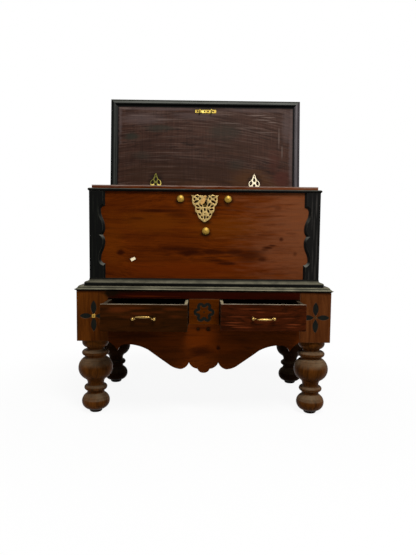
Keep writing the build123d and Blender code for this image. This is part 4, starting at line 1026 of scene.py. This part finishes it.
# ---------------------------------------------------------------- hinges
# Three-knuckle brass hinges on steel pins. The lid leaves end in pierced pear
# shapes pinned to the panel, and the strike plate near the lid's free edge is
# sawn from sheet like them.
steel = brass_metal("pin steel", (0.30, 0.29, 0.27), (0.08, 0.06, 0.05), 0.4, 0.5)
dress("hinge_pins", steel, 0.0002, angle=45)
lid_lean = radians(4.6)
hinge_low, hinge_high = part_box("hinge_pins")
pin_middle = (hinge_low + hinge_high) / 2


def lid_point(x, up, out):
    """A point on the lid in mm: across, up from the hinge pin, out from the frame's face."""
    y = up * sin(lid_lean) - out * cos(lid_lean)
    z = up * cos(lid_lean) + out * sin(lid_lean)
    return Vector((x / 1000, pin_middle.y + y / 1000, pin_middle.z + z / 1000))


def saw_cutter(name, outlines, low, high):
    """Prisms through a plate on the lid, one for each outline, from low to high in mm."""
    bm = bmesh.new()
    for outline in outlines:
        rings = [[bm.verts.new(lid_point(x, up, out)) for x, up in outline] for out in (low, high)]
        bm.faces.new(rings[0])
        bm.faces.new(rings[1])
        for k in range(len(outline)):
            after = (k + 1) % len(outline)
            bm.faces.new((rings[0][k], rings[0][after], rings[1][after], rings[1][k]))
    bmesh.ops.recalc_face_normals(bm, faces=bm.faces)
    return new_piece(name, mesh_from(bm, name), None)


# The saw reaches right through a plate on the panel between these depths.
SAW_LOW, SAW_HIGH = -12.0, -7.0


def sawn_plate(node, metal, leaves, cuts=()):
    """A brass plate on the lid with its holes and edges sawn out to full size."""
    outlines = [leaf(*outline, 28) for outline in leaves] + list(cuts)
    cutter = saw_cutter(node + "_saw", outlines, SAW_LOW, SAW_HIGH)
    dress(node, metal, 0.0003, holes=cutter)
    bpy.data.objects.remove(cutter)


# What the saw takes off a lid leaf's right edge: (across, up from the pin), in mm.
LEAF_WAIST = (
    (2.4, 122), (3.8, 115), (6.4, 107), (9.0, 100), (12.2, 93), (15.0, 87.5), (17.4, 84.6),
    (21.5, 83), (25.0, 79.6), (27.4, 74), (28.6, 67), (28.0, 59.5), (25.4, 53), (20.6, 48.4),
    (20.6, 38), (40, 38), (40, 126), (2.2, 126),
)
hinge_x = 257.5
olive_brass = brass_metal("olive brass", (0.115, 0.105, 0.022), (0.04, 0.035, 0.01), 0.4, 0.8)
add_patches(
    olive_brass,
    (
        (0.56, 0.43, 0.110), (-274, 1036, 20, 12, 0.85), (-241, 1036, 20, 12, 0.85),
        (-232, 1052, 12, 24, 0.7),
    ),
)
pale_brass = brass_metal("pale brass", (0.52, 0.46, 0.33), (0.22, 0.16, 0.07), 0.4, 0.5)
for hand, middle, metal in (("left", -hinge_x, olive_brass), ("right", hinge_x, pale_brass)):
    dress(f"hinge_{hand}_case_leaf", old_brass, 0.0003)
    sawn_plate(
        f"hinge_{hand}_lid_leaf", metal,
        (
            (middle + 17, 71, 104, 25, 15), (middle - 17, 71, 76, 25, 15),
            (middle, 59, 90, 18, 15), (middle, 106, 90, 11, 5.6), (middle, 88, 90, 23, 14),
        ),
        (
            [(middle + x, up) for x, up in LEAF_WAIST],
            [(middle - x, up) for x, up in reversed(LEAF_WAIST)],
        ),
    )
strike_brass = brass_metal("strike plate brass", (0.21, 0.150, 0.028), (0.07, 0.04, 0.01), 0.4, 0.9)
add_patches(
    strike_brass,
    ((0.40, 0.33, 0.090), (-12, 1424, 16, 12, 0.7), (28, 1420, 12, 12, 0.5)),
    ((0.016, 0.011, 0.006), (0, 1438, 3000, 9, 1), (0, 1414, 3000, 5, 1)),
)
strike_up, hole_length, hole_width, leaf_face = 445, 9.6, 8.6, -8.0
strike_holes = [(x, strike_up, 0, hole_length, hole_width) for x in (-42, -6, 12, 39)]
sawn_plate("strike_plate", strike_brass, strike_holes)
pins(
    "lid_leaf_pins",
    [
        lid_point(middle + x, up, leaf_face)
        for middle in (-hinge_x, hinge_x)
        for x, up in ((0, 113.5), (-25, 59), (25, 59), (-12, 86), (12, 86))
    ],
    facing=(0, -cos(lid_lean), sin(lid_lean)), radius=0.0015, metal=old_brass, body="lid",
)

# ------------------------------------------------------------------- lid
# A wide dark panel grooved into a mitred ebonised frame. The frame swells and
# greys on its face with dust and painted sheen, and falls to a hollow painted black as shade; the
# panel is dry and scuffed.
LID_HALF_WIDTH, LID_ABOVE_PIN, LID_BELOW_PIN = 0.4928, 0.5, 0.016


def lid_frame_wood(name, along, outer, dusty_sheen_colour, sheen_from, sheen_to):
    """Ebonised frame wood, coloured by how far a point lies from the lid's edge: an outer band, a
    band of dust and painted sheen on the swell, and a hollow painted black as shade.
    """
    material = black_wood(name, along, 0.5)
    tree, shader, under = coat(material)
    place = object_place(tree)
    split = split_vector(tree, place)
    if along == "z":
        across = maths(tree, "ABSOLUTE", split["X"])
        inset = maths(tree, "SUBTRACT", LID_HALF_WIDTH, across)
    else:
        rise = maths(tree, "MULTIPLY", split["Y"], sin(lid_lean))
        rise = maths(tree, "MULTIPLY_ADD", split["Z"], cos(lid_lean), rise)
        pin_rise = pin_middle.y * sin(lid_lean) + pin_middle.z * cos(lid_lean)
        rise = maths(tree, "SUBTRACT", rise, pin_rise)
        from_top = maths(tree, "SUBTRACT", LID_ABOVE_PIN, rise)
        inset = maths(tree, "MINIMUM", from_top, maths(tree, "ADD", rise, LID_BELOW_PIN))
    fibres = stretch(tree, place, (5, 9, 70) if along == "x" else (70, 9, 5))
    rubbed = noise(tree, fibres, 1.0, 5.0, 0.65)
    outside = maths(tree, "MULTIPLY", ramp(tree, inset, sheen_to, sheen_to + 0.002, 1, 0), 0.85)
    dusty_sheen_band = maths(
        tree, "MULTIPLY", ramp(tree, inset, sheen_from, sheen_from + 0.005),
        ramp(tree, inset, sheen_to - 0.002, sheen_to + 0.0005, 1, 0),
    )
    dusty_sheen_band = maths(tree, "MULTIPLY", dusty_sheen_band, ramp(tree, rubbed, 0.3, 0.62, 0.45, 1.0))
    colour = blend_colours(tree, outside, under, outer)
    colour = blend_colours(tree, dusty_sheen_band, colour, dusty_sheen_colour)
    painted_hollow_shade = maths(tree, "MULTIPLY", ramp(tree, inset, sheen_to, sheen_to + 0.002), 0.9)
    colour = blend_colours(tree, painted_hollow_shade, colour, (0.0006, 0.0006, 0.0005))
    feed(tree, shader, {"Base Color": colour})
    return material


# The rails are lit and shaded copies of one wood: the left painted darker and the right lighter, as
# painted light from the right.
for part, rails, along, outer, dusty_sheen_colour, sheen_from, sheen_to in (
    ("across", ("front", "back"), "x", (0.024, 0.026, 0.020), (0.104, 0.107, 0.094), 0.006, 0.0180),
    ("left", ("left",), "z", (0.0025, 0.0030, 0.0023), (0.026, 0.027, 0.0235), 0.013, 0.0315),
    ("right", ("right",), "z", (0.040, 0.033, 0.036), (0.112, 0.099, 0.102), 0.011, 0.0275),
):
    wood = lid_frame_wood(f"lid frame wood {part}", along, outer, dusty_sheen_colour, sheen_from, sheen_to)
    for rail in rails:
        dress(f"lid_rail_{rail}", wood, 0.0008, angle=28)
lid_wood = timber(
    "lid panel wood", (0.0110, 0.0042, 0.0028), (0.055, 0.0242, 0.0160),
    (0.006, 0.003, 0.0024), "x", (0.15, 0.2, 0.7), figure=0.45, streaks=0.95, bands=1.6,
    sweep=0.22, gloss=0.06, tint=(1, 0.8, 0.7), dust=0.2,
)
tree, shader, under = coat(lid_wood)
grain_vector = tree.nodes["Group"].inputs["Vector"].links[0].from_socket
place = object_place(tree)
scuffs = noise(tree, stretch(tree, grain_vector, (3.2, 130, 130), (4, 1, 6)), 1.2, 5.0, 0.65)
dry = ramp(tree, noise(tree, place, 3.4, 4.0, 0.6), 0.38, 0.66, 0.18, 0.5)
scuffs = maths(tree, "MULTIPLY", ramp(tree, scuffs, 0.47, 0.68), dry)
colour = blend_colours(tree, scuffs, under, (0.125, 0.082, 0.066))
saw = noise(tree, stretch(tree, place, (210, 1, 9)), 1.0, 3.0, 0.6)
saw = ramp(tree, saw, 0.3, 0.7, 0.8, 1.2)
feed(tree, shader, {"Base Color": blend_colours(tree, 1.0, colour, saw, "MULTIPLY")})
add_patches(
    lid_wood,
    (
        (0.078, 0.0290, 0.0070), (230, 1075, 150, 70, 0.55), (320, 1040, 100, 50, 0.35),
        (-40, 1040, 200, 36, 0.3),
    ),
    (
        (0.060, 0.0150, 0.0100), (400, 1080, 60, 70, 0.6), (360, 1160, 40, 90, 0.35),
        (300, 1020, 90, 30, 0.4),
    ),
    (
        (0.026, 0.0110, 0.0055), (-250, 1090, 280, 90, 0.6), (150, 1230, 170, 60, 0.4),
        (60, 1110, 200, 70, 0.5),
    ),
    (
        (0.017, 0.0185, 0.0135), (-385, 1290, 50, 30, 0.8), (-235, 1335, 95, 26, 0.65),
        (100, 1320, 110, 60, 0.5), (160, 1150, 60, 40, 0.4), (-330, 1190, 60, 30, 0.35),
    ),
    (
        (0.100, 0.073, 0.070), (449, 1260, 15, 330, 0.5), (425, 1350, 34, 110, 0.35),
        (-450, 1370, 18, 150, 0.45), (-250, 1437, 330, 12, 0.5), (250, 1434, 260, 14, 0.3),
        (-330, 1385, 160, 40, 0.4), (-60, 1400, 160, 26, 0.3),
    ),
    (
        (0.165, 0.118, 0.098), (270, 1408, 60, 4, 0.6), (330, 1398, 50, 4, 0.65),
        (300, 1384, 60, 4, 0.55), (350, 1372, 36, 4, 0.5), (120, 1366, 90, 3, 0.4),
        (230, 1342, 90, 3, 0.45), (330, 1320, 70, 3, 0.4), (-420, 1438, 60, 4, 0.6),
        (-200, 1380, 120, 3, 0.3), (60, 1410, 120, 3, 0.35), (-330, 1400, 100, 3, 0.3),
        (385, 1290, 6, 70, 0.35), (402, 1220, 6, 50, 0.35),
    ),
    # Near-black painted shade along the top and sides of the panel under the frame's rails, and
    # behind the pierced strike plate and hinge leaves.
    (
        (0.0030, 0.0022, 0.0020), (-250, 1451, 700, 13, 1), (250, 1451, 700, 13, 1),
        (-461, 1240, 14, 600, 1), (461, 1240, 7, 600, 0.8), (0, 1431, 84, 17, 0.9),
        (-257.5, 1062, 46, 52, 0.85), (257.5, 1062, 46, 52, 0.85),
    ),
    front_only=True,
)
dress("lid_panel", lid_wood, 0.001)

# ------------------------------------------------------- floor and light
# A plain white floor under a broad soft light overhead, with weaker ones in
# front and behind. Camera, gloss and glass rays see the white of floor and room.


def white_rays(tree):
    """The Light Path outputs, and 1 for the rays that see the room as plain white."""
    rays = add_node(tree, "ShaderNodeLightPath").outputs
    seen = maths(tree, "MAXIMUM", rays["Is Camera Ray"], rays["Is Glossy Ray"])
    return rays, maths(tree, "MAXIMUM", seen, rays["Is Transmission Ray"])


floor_reach = 30
corners = [(x * floor_reach, y * floor_reach, 0) for x, y in ((-1, -1), (1, -1), (1, 1), (-1, 1))]
floor_mesh = bpy.data.meshes.new("floor")
floor_mesh.from_pydata(corners, [], [(0, 1, 2, 3)])
floor_paint, tree, matt = new_material("floor paint")
rays, seen = white_rays(tree)
lit, shown = (0.48, 0.47, 0.45), (0.92, 0.92, 0.91)
colour = blend_colours(tree, rays["Is Camera Ray"], lit, shown)
feed(tree, matt, {"Roughness": 0.9, "Base Color": colour})
glow = add_node(tree, "ShaderNodeEmission", {"Color": (1, 1, 1)})
place = object_place(tree)
plain = ramp(tree, vector_maths(tree, "LENGTH", {0: place}, "Value"), 0.7, 1.5, 0.92, 1.0)
values = {0: maths(tree, "MULTIPLY", seen, plain), 1: matt.outputs[0], 2: glow.outputs[0]}
mixed = add_node(tree, "ShaderNodeMixShader", values)
feed(tree, tree.nodes["Material Output"], {"Surface": mixed.outputs[0]})
floor = new_piece("floor", floor_mesh, floor_paint)
floor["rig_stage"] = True

world = bpy.data.worlds.new("studio")
bpy.context.scene.world = world
world.use_nodes = True
tree = world.node_tree
tree.nodes.clear()
soft = add_node(tree, "ShaderNodeBackground", {"Color": (1, 1, 1), "Strength": 0.13})
white = add_node(tree, "ShaderNodeBackground", {"Color": (1, 1, 1), "Strength": 1.0})
values = {0: white_rays(tree)[1], 1: soft.outputs[0], 2: white.outputs[0]}
mixed = add_node(tree, "ShaderNodeMixShader", values)
add_node(tree, "ShaderNodeOutputWorld", {"Surface": mixed.outputs[0]})


def area_light(name, place, aim, size, power):
    """A square soft light aimed at a point."""
    data = bpy.data.lights.new(name, "AREA")
    data.shape = "SQUARE"
    data.size = size
    data.energy = power
    lamp = bpy.data.objects.new(name, data)
    bpy.context.scene.collection.objects.link(lamp)
    lamp.location = place
    lamp.rotation_euler = (Vector(aim) - Vector(place)).to_track_quat("-Z", "Y").to_euler()


area_light("overhead", (0.6, -2.4, 3.5), aim=(0, 0, 0.6), size=1.3, power=145)
area_light("front", (2.1, -3.0, 1.5), aim=(0, 0, 0.7), size=1.6, power=17)
area_light("behind", (-1.2, 2.9, 3.0), aim=(0, 0, 1.0), size=2.0, power=22)

camera_pitch, camera_yaw, camera_roll = radians(4.47262), radians(-0.62043), radians(0.60699)
camera_place = (-0.00706, stand_front_y - 2.04068, 0.75753)
camera_data = bpy.data.cameras.new("camera")
camera_data.sensor_fit = "VERTICAL"
camera_data.sensor_height = 36.0
camera_data.lens = 31.571
camera = bpy.data.objects.new("camera", camera_data)
bpy.context.scene.collection.objects.link(camera)
level = Vector((cos(camera_yaw), sin(camera_yaw), 0))
ahead = Vector((-sin(camera_yaw), cos(camera_yaw), 0)) * cos(camera_pitch)
ahead.z = -sin(camera_pitch)
upright = level.cross(ahead)
right = cos(camera_roll) * level + sin(camera_roll) * upright
up = cos(camera_roll) * upright - sin(camera_roll) * level
turn = Matrix((right, up, -ahead)).transposed().to_4x4()
camera.matrix_world = Matrix.Translation(camera_place) @ turn
bpy.context.scene.camera = camera
bpy.context.scene.view_settings.view_transform = "Standard"

import json
low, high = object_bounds()
